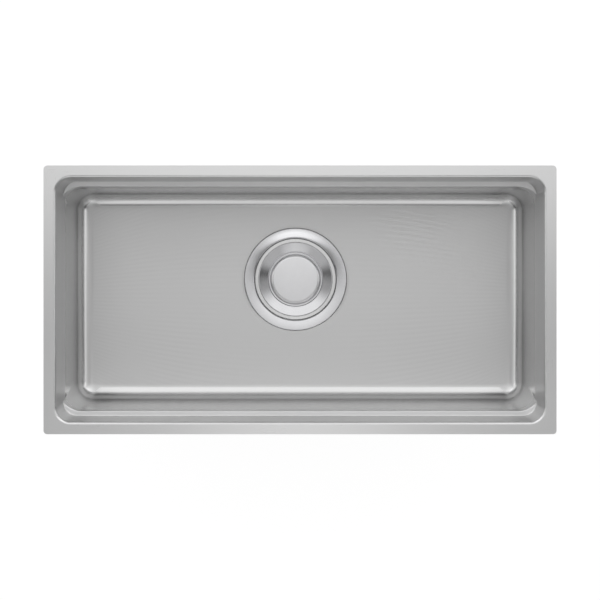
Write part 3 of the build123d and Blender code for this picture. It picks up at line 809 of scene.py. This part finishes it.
def evenly(points, count):
    """Points spaced evenly along a line, its ends included."""
    travelled = [0.0]
    for start, end in zip(points, points[1:]):
        travelled.append(travelled[-1] + (end - start).length)
    spaced = []
    index = 0
    for step in range(count):
        wanted = travelled[-1] * step / (count - 1)
        while index < len(points) - 2 and travelled[index + 1] < wanted:
            index += 1
        span = travelled[index + 1] - travelled[index]
        share = (wanted - travelled[index]) / span if span > 0 else 0.0
        spaced.append(points[index].lerp(points[index + 1], share))
    return spaced


def ledge_rows(sizes, above, outside, inside, below, grow):
    """Rows of points down the stepped ledge, which is no step at all where its two loops meet."""
    columns = []
    for first, second, third, fourth in zip(above, outside, inside, below):
        line = [first]
        if (second - third).length > MERGE:
            line += bent_corner(first, second, third, sizes.ledge_bend + grow)
            line += bent_corner(second, third, fourth, sizes.ledge_bend - grow)
        line.append(fourth)
        columns.append(evenly(line, LEDGE_STEPS))
    return [list(row) for row in zip(*columns)]


def skin_rows(sizes, grow):
    """Rows of points from the rim's edge to the end of the cove, on the face that lies grow further out."""
    lean = math.tan(sizes.draft)
    mouth_x = RIM_HIGH.x - sizes.rim_band
    mouth_y = RIM_HIGH.y - sizes.rim_band
    corner = sizes.mouth_corner + grow
    floor_corner = sizes.floor_corner + grow

    def wall(depth, inset, run, drop):
        out = grow - depth * lean
        return level_loop(mouth_x + out, mouth_y + out - inset, run, drop, -depth)

    edge = sizes.rim_edge
    inward = edge if grow == 0 else SHEET - edge
    rim_corner = sizes.rim_corner
    rows = [
        level_loop(RIM_HIGH.x, RIM_HIGH.y, rim_corner, rim_corner, -inward),
        level_loop(RIM_HIGH.x - edge, RIM_HIGH.y - edge, rim_corner - edge, rim_corner - edge, -grow),
    ]
    roll = sizes.lip - grow
    centre_out = grow + (roll - sizes.lip * math.sin(sizes.draft)) / math.cos(sizes.draft)
    for step in range(LIP_STEPS + 1):
        turn = (math.pi / 2 - sizes.draft) * step / LIP_STEPS
        out = centre_out - roll * math.sin(turn)
        round_corner = corner + out - centre_out + roll * math.cos(sizes.draft)
        height = roll * math.cos(turn) - sizes.lip
        rows.append(level_loop(mouth_x + out, mouth_y + out, round_corner, round_corner, height))

    ledge = sizes.ledge_depth + grow
    reach = sizes.ledge_reach
    runout = wall(ledge + sizes.runout_height, sizes.ledge_width, floor_corner, floor_corner)
    inside = wall(ledge, sizes.ledge_width, sizes.runout, corner - sizes.ledge_width)
    above = wall(ledge - reach, 0.0, corner, corner)
    below = between(inside, runout, reach / sizes.runout_height)
    rows += ledge_rows(sizes, above, wall(ledge, 0.0, corner, corner), inside, below, grow)
    rows += [between(below, runout, step / WALL_STEPS) for step in range(1, WALL_STEPS + 1)]

    depth = -FLOOR_Z
    cove = sizes.cove + grow
    centre_height = sizes.cove - depth
    centre_out = grow + (centre_height * math.sin(sizes.draft) - cove) / math.cos(sizes.draft)
    for step in range(COVE_STEPS + 1):
        turn = sizes.draft + (math.pi / 2 - sizes.draft) * step / COVE_STEPS
        out = centre_out + cove * math.cos(turn)
        round_corner = floor_corner + cove * (math.cos(turn) - math.cos(sizes.draft))
        height = centre_height - cove * math.sin(turn)
        half_y = mouth_y + out - sizes.ledge_width
        rows.append(level_loop(mouth_x + out, half_y, round_corner, round_corner, height))
    return rows


def loop_edges(bm, loop):
    """Edges of a closed loop of mesh points."""
    return [bm.edges.get((start, end)) for start, end in zip(loop, loop[1:] + loop[:1])]


def stitch(bm, rows, material):
    """Faces between rows of mesh points."""
    for row, following in zip(rows, rows[1:]):
        for index in range(len(row)):
            before = index - 1
            face = bm.faces.new((row[before], row[index], following[index], following[before]))
            face.material_index = material


class SINK_OT_bowl(bpy.types.Operator):
    """Builds the pressed bowl with its rim, lip, ledges, coves, floor and waste seat"""

    bl_idname = "sink.bowl"
    bl_label = "Pressed bowl"

    def execute(self, context):
        sizes = context.scene.sink_bowl_sizes
        satin, embossed, outside = range(3)
        bm = bmesh.new()
        inner = [[bm.verts.new(point) for point in row] for row in skin_rows(sizes, 0.0)]
        outer = [[bm.verts.new(point) for point in row] for row in skin_rows(sizes, SHEET)]
        stitch(bm, inner, satin)
        stitch(bm, outer, outside)
        stitch(bm, [inner[0], outer[0]], satin)

        line = [
            (sizes.recess_top + sizes.recess_apron, 0.0),
            (sizes.recess_top, 0.0),
            (sizes.recess_foot, -sizes.recess_depth),
            (sizes.hole_radius, -sizes.recess_depth),
        ]
        seat = sheet_outline(line, [sizes.recess_bend, sizes.recess_bend + SHEET], SHEET)
        rings = spin(bm, seat, closed=False)
        for edges, material in (
            (loop_edges(bm, inner[-1]) + loop_edges(bm, [ring[0] for ring in rings]), embossed),
            (loop_edges(bm, outer[-1]) + loop_edges(bm, [ring[-1] for ring in rings]), outside),
        ):
            filled = bmesh.ops.triangle_fill(bm, use_beauty=True, edges=edges)
            for face in (item for item in filled["geom"] if isinstance(item, bmesh.types.BMFace)):
                face.material_index = material
        finishes = [finish_of(name) for name in ("satin_bowl", "embossed_floor", "dull_outside")]
        mesh = finished_mesh(bm, "pressed_bowl", *finishes)
        bowl = place_piece("pressed_bowl", mesh, "sink", "bowl_steel", "sink_bowl")
        weighted = bowl.modifiers.new("Flat faces stay flat", "WEIGHTED_NORMAL")
        weighted.keep_sharp = True
        return {"FINISHED"}


class SINK_OT_pads(bpy.types.Operator):
    """Builds the sound-deadening pads bonded to the outside of the bowl"""

    bl_idname = "sink.pads"
    bl_label = "Sound pads"

    def execute(self, context):
        sizes = context.scene.sink_bowl_sizes
        x, y, z = Matrix.Identity(3)
        for node, facing in {"pad_front": -y, "pad_back": y, "pad_left": -x, "pad_right": x}.items():
            outward = facing * math.cos(sizes.draft) - z * math.sin(sizes.draft)
            along = facing.cross(z)
            self.build(node, along, outward.cross(along), outward, sizes)
        for node in ("pad_floor_left", "pad_floor_right"):
            self.build(node, x, -y, -z, sizes)
        return {"FINISHED"}

    def build(self, node, along, up, outward, sizes):
        """One pad, in the place of its CAD node."""
        corners = [vertex.co for vertex in frame["nodes"][node].data.vertices]
        reaches = [[corner.dot(axis) for corner in corners] for axis in (along, up, outward)]
        spans = [(min(reach), max(reach)) for reach in reaches]
        middle = along * sum(spans[0]) / 2 + up * sum(spans[1]) / 2
        half_x = (spans[0][1] - spans[0][0]) / 2
        half_y = (spans[1][1] - spans[1][0]) / 2
        foot, top = spans[2]
        edge = sizes.pad_edge
        bm = bmesh.new()
        rows = []
        profile = [(0.0, foot)]
        for step in range(PAD_EDGE_STEPS + 1):
            turn = math.pi / 2 * step / PAD_EDGE_STEPS
            profile.append((edge * (1 - math.cos(turn)), top - edge + edge * math.sin(turn)))
        for inset, out in profile:
            round_corner = sizes.pad_corner - inset
            loop = level_loop(half_x - inset, half_y - inset, round_corner, round_corner, out)
            rows.append([bm.verts.new(middle + along * p.x + up * p.y + outward * p.z) for p in loop])
        stitch(bm, rows, 0)
        bm.faces.new(rows[0])
        bm.faces.new(rows[-1])
        name = f"rubber_{node}"
        place_piece(name, finished_mesh(bm, name, finish_of("soft_pad")), "sink", "pad_rubber", node)


# Waste clamped in the floor


def thread_shape(radius, foot, top, pitch, depth):
    """Shape for spin that cuts a thread into a cylinder of this radius between two heights."""

    def shape(out, height, turn):
        if abs(out - radius) > MERGE or not foot <= height <= top:
            return out
        phase = (height / pitch - turn / (2 * math.pi)) % 1.0
        crest = min(1.0, abs(2 * phase - 1) * THREAD_SLOPE)
        return out - depth * (1 - crest)

    return shape


def fine_run(radius, start, end, pitch):
    """Points down a cylinder, close enough together to carry a thread."""
    steps = math.ceil(abs(end - start) / (pitch / THREAD_STEPS))
    return [Vector((radius, start + (end - start) * step / steps)) for step in range(steps + 1)]


def dress_node(node, material):
    """Gives a CAD node that is kept as it is one of the sink's materials."""
    for slot in frame["nodes"][node].material_slots:
        slot.material = finish_of(material)


def lugged_outline(sizes):
    """Outline of the ring nut with its lugs, as points round the drain axis."""
    radius = sizes.body_radius + sizes.nut_width
    half = sizes.lug_width / 2
    root = math.sqrt(radius * radius - half * half)
    tip = radius + sizes.lug_reach
    land = math.asin(half / radius)
    gap = 2 * math.pi / sizes.lugs - 2 * land
    corners, bends = [], []
    for turn in spokes(sizes.lugs):
        for out, across in ((root, -half), (tip, -half), (tip, half), (root, half)):
            corners.append(Matrix.Rotation(turn, 2) @ Vector((out, across)))
            bends.append(sizes.lug_bend)
        for step in range(1, LAND_STEPS):
            place = turn + land + gap * step / LAND_STEPS
            corners.append((radius * math.cos(place), radius * math.sin(place)))
            bends.append(0.0)
    return rounded(corners, bends, closed=True)


def fluted_outline(sizes, radius):
    """Outline of the union nut with its hollow flutes, as points round the drain axis."""
    centre = radius + sizes.flute_radius - sizes.flute_depth
    reach = (centre * centre + radius * radius - sizes.flute_radius ** 2) / (2 * centre * radius)
    half = math.acos(reach)
    period = 2 * math.pi / sizes.flutes
    points = []
    for turn in spokes(sizes.flutes):
        for step in range(-LAND_STEPS, LAND_STEPS + 1):
            offset = half * step / LAND_STEPS
            inside = sizes.flute_radius ** 2 - (centre * math.sin(offset)) ** 2
            out = centre * math.cos(offset) - math.sqrt(max(0.0, inside))
            points.append(Vector((out * math.cos(turn + offset), out * math.sin(turn + offset))))
        for step in range(1, LAND_STEPS):
            place = turn + half + (period - 2 * half) * step / LAND_STEPS
            points.append(Vector((radius * math.cos(place), radius * math.sin(place))))
    return points


def nut_piece(name, outline, edge, foot, top, bores, material, body, slot, node):
    """Nut whose outside follows an outline with softened edges, with a bore given by radii and heights."""
    reach = max(point.length for point in outline)
    levels = []
    for inset, height in ((edge, foot), (0.0, foot + edge), (0.0, top - edge), (edge, top)):
        levels.append(([point * (1 - inset / reach) for point in outline], height))
    for radius, height in bores:
        levels.append(([point.normalized() * radius for point in outline], height))
    bm = bmesh.new()
    rows = []
    for points, height in levels:
        rows.append([bm.verts.new((DRAIN_X + p.x, DRAIN_Y + p.y, FLOOR_Z + height)) for p in points])
    stitch(bm, rows + rows[:1], 0)
    place_piece(name, finished_mesh(bm, name, finish_of(material)), body, slot, node)


def add_rib(bm, outline, thickness, turn):
    """Flat rib on a spoke of the drain axis, from an outline of radius and height."""
    out = Vector((math.cos(turn), math.sin(turn), 0.0))
    across = Vector((-math.sin(turn), math.cos(turn), 0.0))
    sides = []
    for side in (-thickness / 2, thickness / 2):
        points = []
        for radius, height in outline:
            axis_point = Vector((DRAIN_X, DRAIN_Y, FLOOR_Z + height))
            points.append(bm.verts.new(axis_point + out * radius + across * side))
        sides.append(points)
    stitch(bm, sides, 0)
    for side in sides:
        bm.faces.new(side)


class SINK_OT_trim(bpy.types.Operator):
    """Builds the polished trim round the waste"""

    bl_idname = "sink.trim"
    bl_label = "Polished trim"

    def execute(self, context):
        sizes = context.scene.sink_waste_sizes
        radius, _, top = turned_size("waste_trim")
        lip = top - (radius - sizes.throat) * math.tan(sizes.trim_slope)
        line = [(radius, -sizes.trim_turn), (radius, top), (sizes.throat, lip), (sizes.throat, -sizes.skirt)]
        outline = sheet_outline(line, [sizes.trim_edge, sizes.throat_bend], sizes.trim_sheet)
        turned_piece("polished_trim", outline, "mirror_polish", "sink", "polished_steel", "waste_trim")
        return {"FINISHED"}


class SINK_OT_lid(bpy.types.Operator):
    """Builds the lid: dished plate, hollow knob with its threaded stud and nut, and gives the rubber feet their
    finish
    """

    bl_idname = "sink.lid"
    bl_label = "Lid"

    def execute(self, context):
        sizes = context.scene.sink_lid_sizes
        self.dish(sizes)
        self.knob(sizes)
        self.nut(sizes)
        dress_node("lid_feet", "soft_seal")
        return {"FINISHED"}

    def dish(self, sizes):
        """Plate with a sloping border and a curled edge."""
        radius = turned_size("lid_dish")[0]
        line = [
            (radius, -sizes.rim_depth - sizes.curl),
            (radius, -sizes.rim_depth),
            (sizes.seat_radius, -sizes.seat_depth),
            (sizes.stud + sizes.stud_gap, -sizes.seat_depth),
        ]
        outline = sheet_outline(line, [sizes.rim_bend, sizes.seat_bend], sizes.sheet)
        turned_piece("dish_plate", outline, "mirror_polish", "lid", "polished_steel", "lid_dish")

    def knob(self, sizes):
        """Flat-topped hollow knob, with a threaded stud down its middle."""
        radius, foot, top = turned_size("lid_knob")
        inside = radius - sizes.knob_sheet
        ceiling = top - sizes.knob_sheet
        point = sizes.stud * STUD_POINT
        thread_top = -sizes.seat_depth
        outline = rounded([(radius, -sizes.seat_depth), (radius, top), (0.0, top)], [sizes.knob_edge])
        outline += [(0.0, foot), (sizes.stud - point, foot)]
        outline += fine_run(sizes.stud, foot + point, thread_top, sizes.stud_pitch)
        inner_line = [(sizes.stud, ceiling), (inside, ceiling), (inside, -sizes.seat_depth)]
        outline += rounded(inner_line, [sizes.knob_edge - sizes.knob_sheet])
        thread = thread_shape(sizes.stud, foot + point, thread_top, sizes.stud_pitch, sizes.stud_pitch / 2)
        turned_piece("knob_cap", outline, "spun_steel", "lid", "polished_steel", "lid_knob", shape=thread)

    def nut(self, sizes):
        """Six-sided nut with chamfered corners."""
        radius, foot, top = turned_size("lid_nut")
        corners = [(radius * math.cos(turn), radius * math.sin(turn)) for turn in spokes(LID_NUT_SIDES)]
        outline = rounded(corners, [radius * LID_NUT_CORNER] * LID_NUT_SIDES, closed=True)
        bore = sizes.stud + sizes.stud_gap
        nut_piece(
            "knob_nut", outline, radius * LID_NUT_CHAMFER, foot, top, [(bore, top), (bore, foot)],
            "bright_steel", "lid", "basket_steel", "lid_nut",
        )


class SINK_OT_basket(bpy.types.Operator):
    """Builds the ring that carries the strainer, and gives the perforated cup its finish"""

    bl_idname = "sink.basket"
    bl_label = "Strainer basket"

    def execute(self, context):
        sizes = context.scene.sink_waste_sizes
        radius, foot, top = turned_size("basket_rim")
        bore = sizes.basket_bore
        chamfer = sizes.basket_chamfer
        line = [(bore, foot), (radius, foot), (radius, top), (bore + chamfer, top), (bore, top - chamfer)]
        outline = rounded(line, [sizes.edge / 3] * len(line), closed=True)
        turned_piece("carrier_ring", outline, "bright_steel", "basket", "basket_steel", "basket_rim")
        dress_node("basket_cup", "bright_steel")
        return {"FINISHED"}


class SINK_OT_trap(bpy.types.Operator):
    """Dresses the bell that hangs over the standpipe"""

    bl_idname = "sink.trap"
    bl_label = "Trap cup"

    def execute(self, context):
        dress_node("trap_cup", "grained_trap")
        return {"FINISHED"}


class SINK_OT_body(bpy.types.Operator):
    """Builds the moulded body with its threads and ribs, its seals and the lugged nut that clamps it"""

    bl_idname = "sink.body"
    bl_label = "Waste body"

    def execute(self, context):
        sizes = context.scene.sink_waste_sizes
        self.body(sizes)
        self.seals(sizes)
        self.clamp(sizes)
        return {"FINISHED"}

    def body(self, sizes):
        """Cup with a sloping flange, a threaded collar, a basket seat, a standpipe and a threaded spigot."""
        flange, spigot_end, top = turned_size("waste_body")
        throat = sizes.body_radius - sizes.body_wall
        gasket_top = turned_size("upper_gasket")[2]
        foot = -sizes.body_floor - sizes.body_wall
        cup = sizes.bore + sizes.body_wall
        taper = sizes.body_taper
        edge = sizes.edge
        thread_top = turned_size("clamp_nut")[2]
        collar = fine_run(sizes.body_radius, thread_top, -sizes.collar_end, sizes.thread_pitch)
        spigot = fine_run(sizes.spigot, foot - edge, spigot_end + edge, sizes.thread_pitch)
        outside = [
            (throat, top - (flange - throat) * math.tan(sizes.trim_slope)),
            (flange, top),
            (flange, gasket_top),
            (sizes.body_radius, gasket_top),
            collar[0],
        ]
        foot_line = [
            collar[-1],
            (cup, -sizes.collar_end - (sizes.body_radius - cup)),
            (cup - taper, foot),
            (sizes.spigot, foot),
            spigot[0],
        ]
        inside = [
            spigot[-1],
            (sizes.pipe, spigot_end),
            (sizes.pipe, -sizes.standpipe_top),
            (sizes.standpipe, -sizes.standpipe_top),
            (sizes.standpipe, -sizes.body_floor),
            (sizes.bore - taper, -sizes.body_floor),
            (sizes.bore, -sizes.seat_depth),
            (throat, -sizes.seat_depth),
            outside[0],
        ]
        outline = rounded(outside, [edge / 2, edge, edge])[:-1] + collar
        outline += rounded(foot_line, [edge, sizes.body_edge, edge])[1:-1] + spigot
        bends = [edge, edge, edge, edge, sizes.body_edge - sizes.body_wall / 2, edge, edge]
        outline += rounded(inside, bends)[1:-1]
        pitch = sizes.thread_pitch
        depth = sizes.thread_depth
        collar_thread = thread_shape(sizes.body_radius, -sizes.collar_end, thread_top, pitch, depth)
        spigot_thread = thread_shape(sizes.spigot, spigot_end + edge, foot - edge, pitch, depth)

        def both_threads(out, height, turn):
            return spigot_thread(collar_thread(out, height, turn), height, turn)

        bm = bmesh.new()
        spin(bm, outline, shape=both_threads)
        nut_top = turned_size("outlet_nut")[2]
        start = sizes.spigot - sizes.body_wall / 2
        rib = [
            (start, foot + sizes.body_wall / 2),
            (sizes.bore - taper - sizes.body_edge, foot + sizes.body_wall / 2),
            (start, nut_top + sizes.rib_gap),
        ]
        for turn in spokes(sizes.ribs):
            add_rib(bm, rib, sizes.rib_thickness, turn)
        mesh = finished_mesh(bm, "moulded_body", finish_of("grained_body"))
        place_piece("moulded_body", mesh, "sink", "body_plastic", "waste_body")

    def seals(self, sizes):
        """Gaskets and slip ring, as rings with softened edges."""
        for node, bore, finish, slot in (
            ("upper_gasket", sizes.gasket_bore, "soft_seal", "seal_rubber"),
            ("lower_gasket", sizes.nut_bore, "soft_seal", "seal_rubber"),
            ("slip_ring", sizes.nut_bore, "grained_body", "body_plastic"),
        ):
            radius, foot, top = turned_size(node)
            outline = edged_ring(bore, radius, foot, top, (top - foot) * SEAL_EDGE)
            turned_piece(f"turned_{node}", outline, finish, "sink", slot, node)

    def clamp(self, sizes):
        """Ring nut with lugs."""
        foot, top = turned_size("clamp_nut")[1:]
        outline = lugged_outline(sizes)
        edge = sizes.edge * 2
        bores = [
            (sizes.nut_bore + edge, top), (sizes.nut_bore, top - edge),
            (sizes.nut_bore, foot + edge), (sizes.nut_bore + edge, foot),
        ]
        nut_piece(
            "lugged_nut", outline, edge, foot, top, bores,
            "grained_nut", "sink", "nut_plastic", "clamp_nut",
        )


class SINK_OT_outlet(bpy.types.Operator):
    """Builds the outlet: washer, tail pipe and fluted union nut"""

    bl_idname = "sink.outlet"
    bl_label = "Outlet"

    def execute(self, context):
        sizes = context.scene.sink_waste_sizes
        edge = sizes.edge
        radius, foot, top = turned_size("outlet_washer")
        outline = edged_ring(sizes.pipe, radius, foot, top, edge)
        turned_piece("pipe_washer", outline, "soft_seal", "sink", "seal_rubber", "outlet_washer")

        radius, foot, top = turned_size("tail_pipe")
        shoulder = foot + sizes.neck_height + sizes.pipe_length
        line = [
            (sizes.pipe_bore, top),
            (radius, top),
            (radius, shoulder),
            (sizes.pipe - sizes.neck_relief, shoulder),
            (sizes.pipe - sizes.neck_relief, foot + sizes.pipe_length),
            (sizes.pipe, foot + sizes.pipe_length),
            (sizes.pipe, foot),
            (sizes.pipe_bore, foot),
        ]
        bends = [edge, edge, edge, 0.0, 0.0, edge / 3, edge, edge]
        outline = rounded(line, bends, closed=True)
        turned_piece("drain_pipe", outline, "grained_pipe", "sink", "pipe_plastic", "tail_pipe")

        radius, foot, top = turned_size("outlet_nut")
        lip_bore = sizes.pipe + sizes.lip_gap
        thread = radius - sizes.outlet_nut_wall
        bores = [
            (thread + edge, top), (thread, top - edge), (thread, shoulder),
            (lip_bore, shoulder), (lip_bore, foot),
        ]
        outline = fluted_outline(sizes, radius)
        nut_piece(
            "fluted_nut", outline, edge * 2, foot, top, bores,
            "grained_nut", "sink", "nut_plastic", "outlet_nut",
        )
        return {"FINISHED"}


# Stage


def soft_panel(tree, way, tilt_angle, turn, core, fade):
    """Round panel in the sky, in degrees: down from straight up, round from X, even core and soft edge."""
    lean = math.radians(tilt_angle)
    round_x = math.radians(turn)
    middle = (math.sin(lean) * math.cos(round_x), math.sin(lean) * math.sin(round_x), math.cos(lean))
    near = add_node(tree, "ShaderNodeVectorMath", {0: way, 1: middle}, operation="DOT_PRODUCT")
    away = calculate(tree, "ARCCOSINE", near.outputs["Value"])
    return minus(tree, 1.0, soft_mask(tree, away, math.radians(core), math.radians(fade)))


class SINK_OT_stage(bpy.types.Operator):
    """Builds the floor, the soft light and the camera"""

    bl_idname = "sink.stage"
    bl_label = "Floor, light and camera"

    def execute(self, context):
        settings = context.scene.sink_stage
        self.floor(context, settings)
        self.surround(context, settings)
        self.camera(context, settings)
        context.scene.view_settings.view_transform = "Standard"
        return {"FINISHED"}

    def floor(self, context, settings):
        """Plain floor under the tail pipe, white to the camera and to reflections, with the sink's shadow."""
        height = CAD_BOX[0].z - FLOOR_GAP
        sides = ((-1, -1), (1, -1), (1, 1), (-1, 1))
        corners = [(x * FLOOR_REACH, y * FLOOR_REACH, height) for x, y in sides]
        bm = bmesh.new()
        bm.faces.new([bm.verts.new(corner) for corner in corners])
        material, tree, shader = new_material("plain_floor")
        shader.inputs["Base Color"].default_value = settings.floor_colour
        shader.inputs["Roughness"].default_value = FLOOR_ROUGHNESS
        path = add_node(tree, "ShaderNodeLightPath").outputs
        mirrored = calculate(tree, "MAXIMUM", path["Is Glossy Ray"], path["Is Transmission Ray"])
        seen = calculate(tree, "MAXIMUM", path["Is Camera Ray"], mirrored)
        light = {"Color": settings.floor_colour, "Strength": settings.floor_glow}
        glow = add_node(tree, "ShaderNodeEmission", light).outputs["Emission"]
        inputs = {0: times(tree, seen, FLOOR_SHOWN), 1: shader.outputs["BSDF"], 2: glow}
        lit = add_node(tree, "ShaderNodeMixShader", inputs)
        surface = next(node for node in tree.nodes if node.type == "OUTPUT_MATERIAL")
        tree.links.new(lit.outputs["Shader"], surface.inputs["Surface"])
        floor = bpy.data.objects.new("floor", finished_mesh(bm, "floor", material))
        context.scene.collection.objects.link(floor)

    def surround(self, context, settings):
        """Dim studio with soft panels of light, white where the camera looks past the sink."""
        world = bpy.data.worlds.new("studio")
        context.scene.world = world
        world.use_nodes = True
        tree = world.node_tree
        tree.nodes.clear()
        way = add_node(tree, "ShaderNodeTexCoord").outputs["Generated"]
        light = settings.surround
        # Every panel that isn't in the middle plane has a twin on the sink's other side
        for tilt_angle, turn, core, fade, radiance in (
            (32, 90, 21, 50, settings.back_high),
            (83, 45, 22, 46, settings.back_low),
            (55, 270, 16, 28, settings.front),
            (11, 270, 3, 9, settings.overhead),
            (53, 3, 3, 21, settings.side),
            (42, 314, 9, 24, settings.front_side),
        ):
            for either_turn in dict.fromkeys((turn, (180 - turn) % 360)):
                panel = soft_panel(tree, way, tilt_angle, either_turn, core, fade)
                light = plus(tree, light, times(tree, panel, radiance))
        path = add_node(tree, "ShaderNodeLightPath").outputs
        mirrored = calculate(tree, "MAXIMUM", path["Is Glossy Ray"], path["Is Transmission Ray"])
        low = minus(tree, 1.0, soft_mask(tree, axes(tree, way)["Z"], *BACKDROP))
        shown = calculate(tree, "MAXIMUM", path["Is Camera Ray"], times(tree, mirrored, low))
        inputs = {"Color": settings.floor_colour, "Strength": blend(tree, shown, light, 1.0)}
        glow = add_node(tree, "ShaderNodeBackground", inputs)
        surface = tree.nodes.new("ShaderNodeOutputWorld")
        tree.links.new(glow.outputs["Background"], surface.inputs["Surface"])

    def camera(self, context, settings):
        """Camera straight over the sink, a little to its back, with the frame shifted to centre the sink."""
        lens = bpy.data.cameras.new("camera")
        lens.lens = settings.lens
        lens.shift_y = settings.frame_shift
        lens.clip_end = CAMERA_END
        camera = bpy.data.objects.new("camera", lens)
        camera.location = (0.0, settings.camera_back, settings.camera_height)
        context.scene.collection.objects.link(camera)
        context.scene.camera = camera


OPERATORS = (
    SINK_OT_bowl, SINK_OT_pads, SINK_OT_body, SINK_OT_trim, SINK_OT_outlet,
    SINK_OT_trap, SINK_OT_basket, SINK_OT_lid, SINK_OT_stage,
)


class SINK_PT_panel(bpy.types.Panel):
    """Lists the steps that build the sink"""

    bl_idname = "SINK_PT_panel"
    bl_label = "Kitchen sink"
    bl_space_type = "VIEW_3D"
    bl_region_type = "UI"
    bl_category = "Sink"

    def draw(self, context):
        for operator in OPERATORS:
            self.layout.operator(operator.bl_idname)


GROUPS = {
    "sink_bowl_sizes": BowlSizes,
    "sink_waste_sizes": WasteSizes,
    "sink_lid_sizes": LidSizes,
    "sink_finishes": Finishes,
    "sink_stage": StageSettings,
}


def register():
    """Registers the settings, the steps and the panel."""
    for name, group in GROUPS.items():
        bpy.utils.register_class(group)
        setattr(bpy.types.Scene, name, bpy.props.PointerProperty(type=group))
    for operator in OPERATORS:
        bpy.utils.register_class(operator)
    bpy.utils.register_class(SINK_PT_panel)


def unregister():
    """Takes the panel, the steps and the settings out again."""
    bpy.utils.unregister_class(SINK_PT_panel)
    for operator in reversed(OPERATORS):
        bpy.utils.unregister_class(operator)
    for name, group in reversed(GROUPS.items()):
        delattr(bpy.types.Scene, name)
        bpy.utils.unregister_class(group)


def main():
    """Builds the sink step by step."""
    register()
    bpy.ops.sink.bowl()
    bpy.ops.sink.pads()
    bpy.ops.sink.body()
    bpy.ops.sink.trim()
    bpy.ops.sink.outlet()
    bpy.ops.sink.trap()
    bpy.ops.sink.basket()
    bpy.ops.sink.lid()
    bpy.ops.sink.stage()


if __name__ == "__main__":
    main()
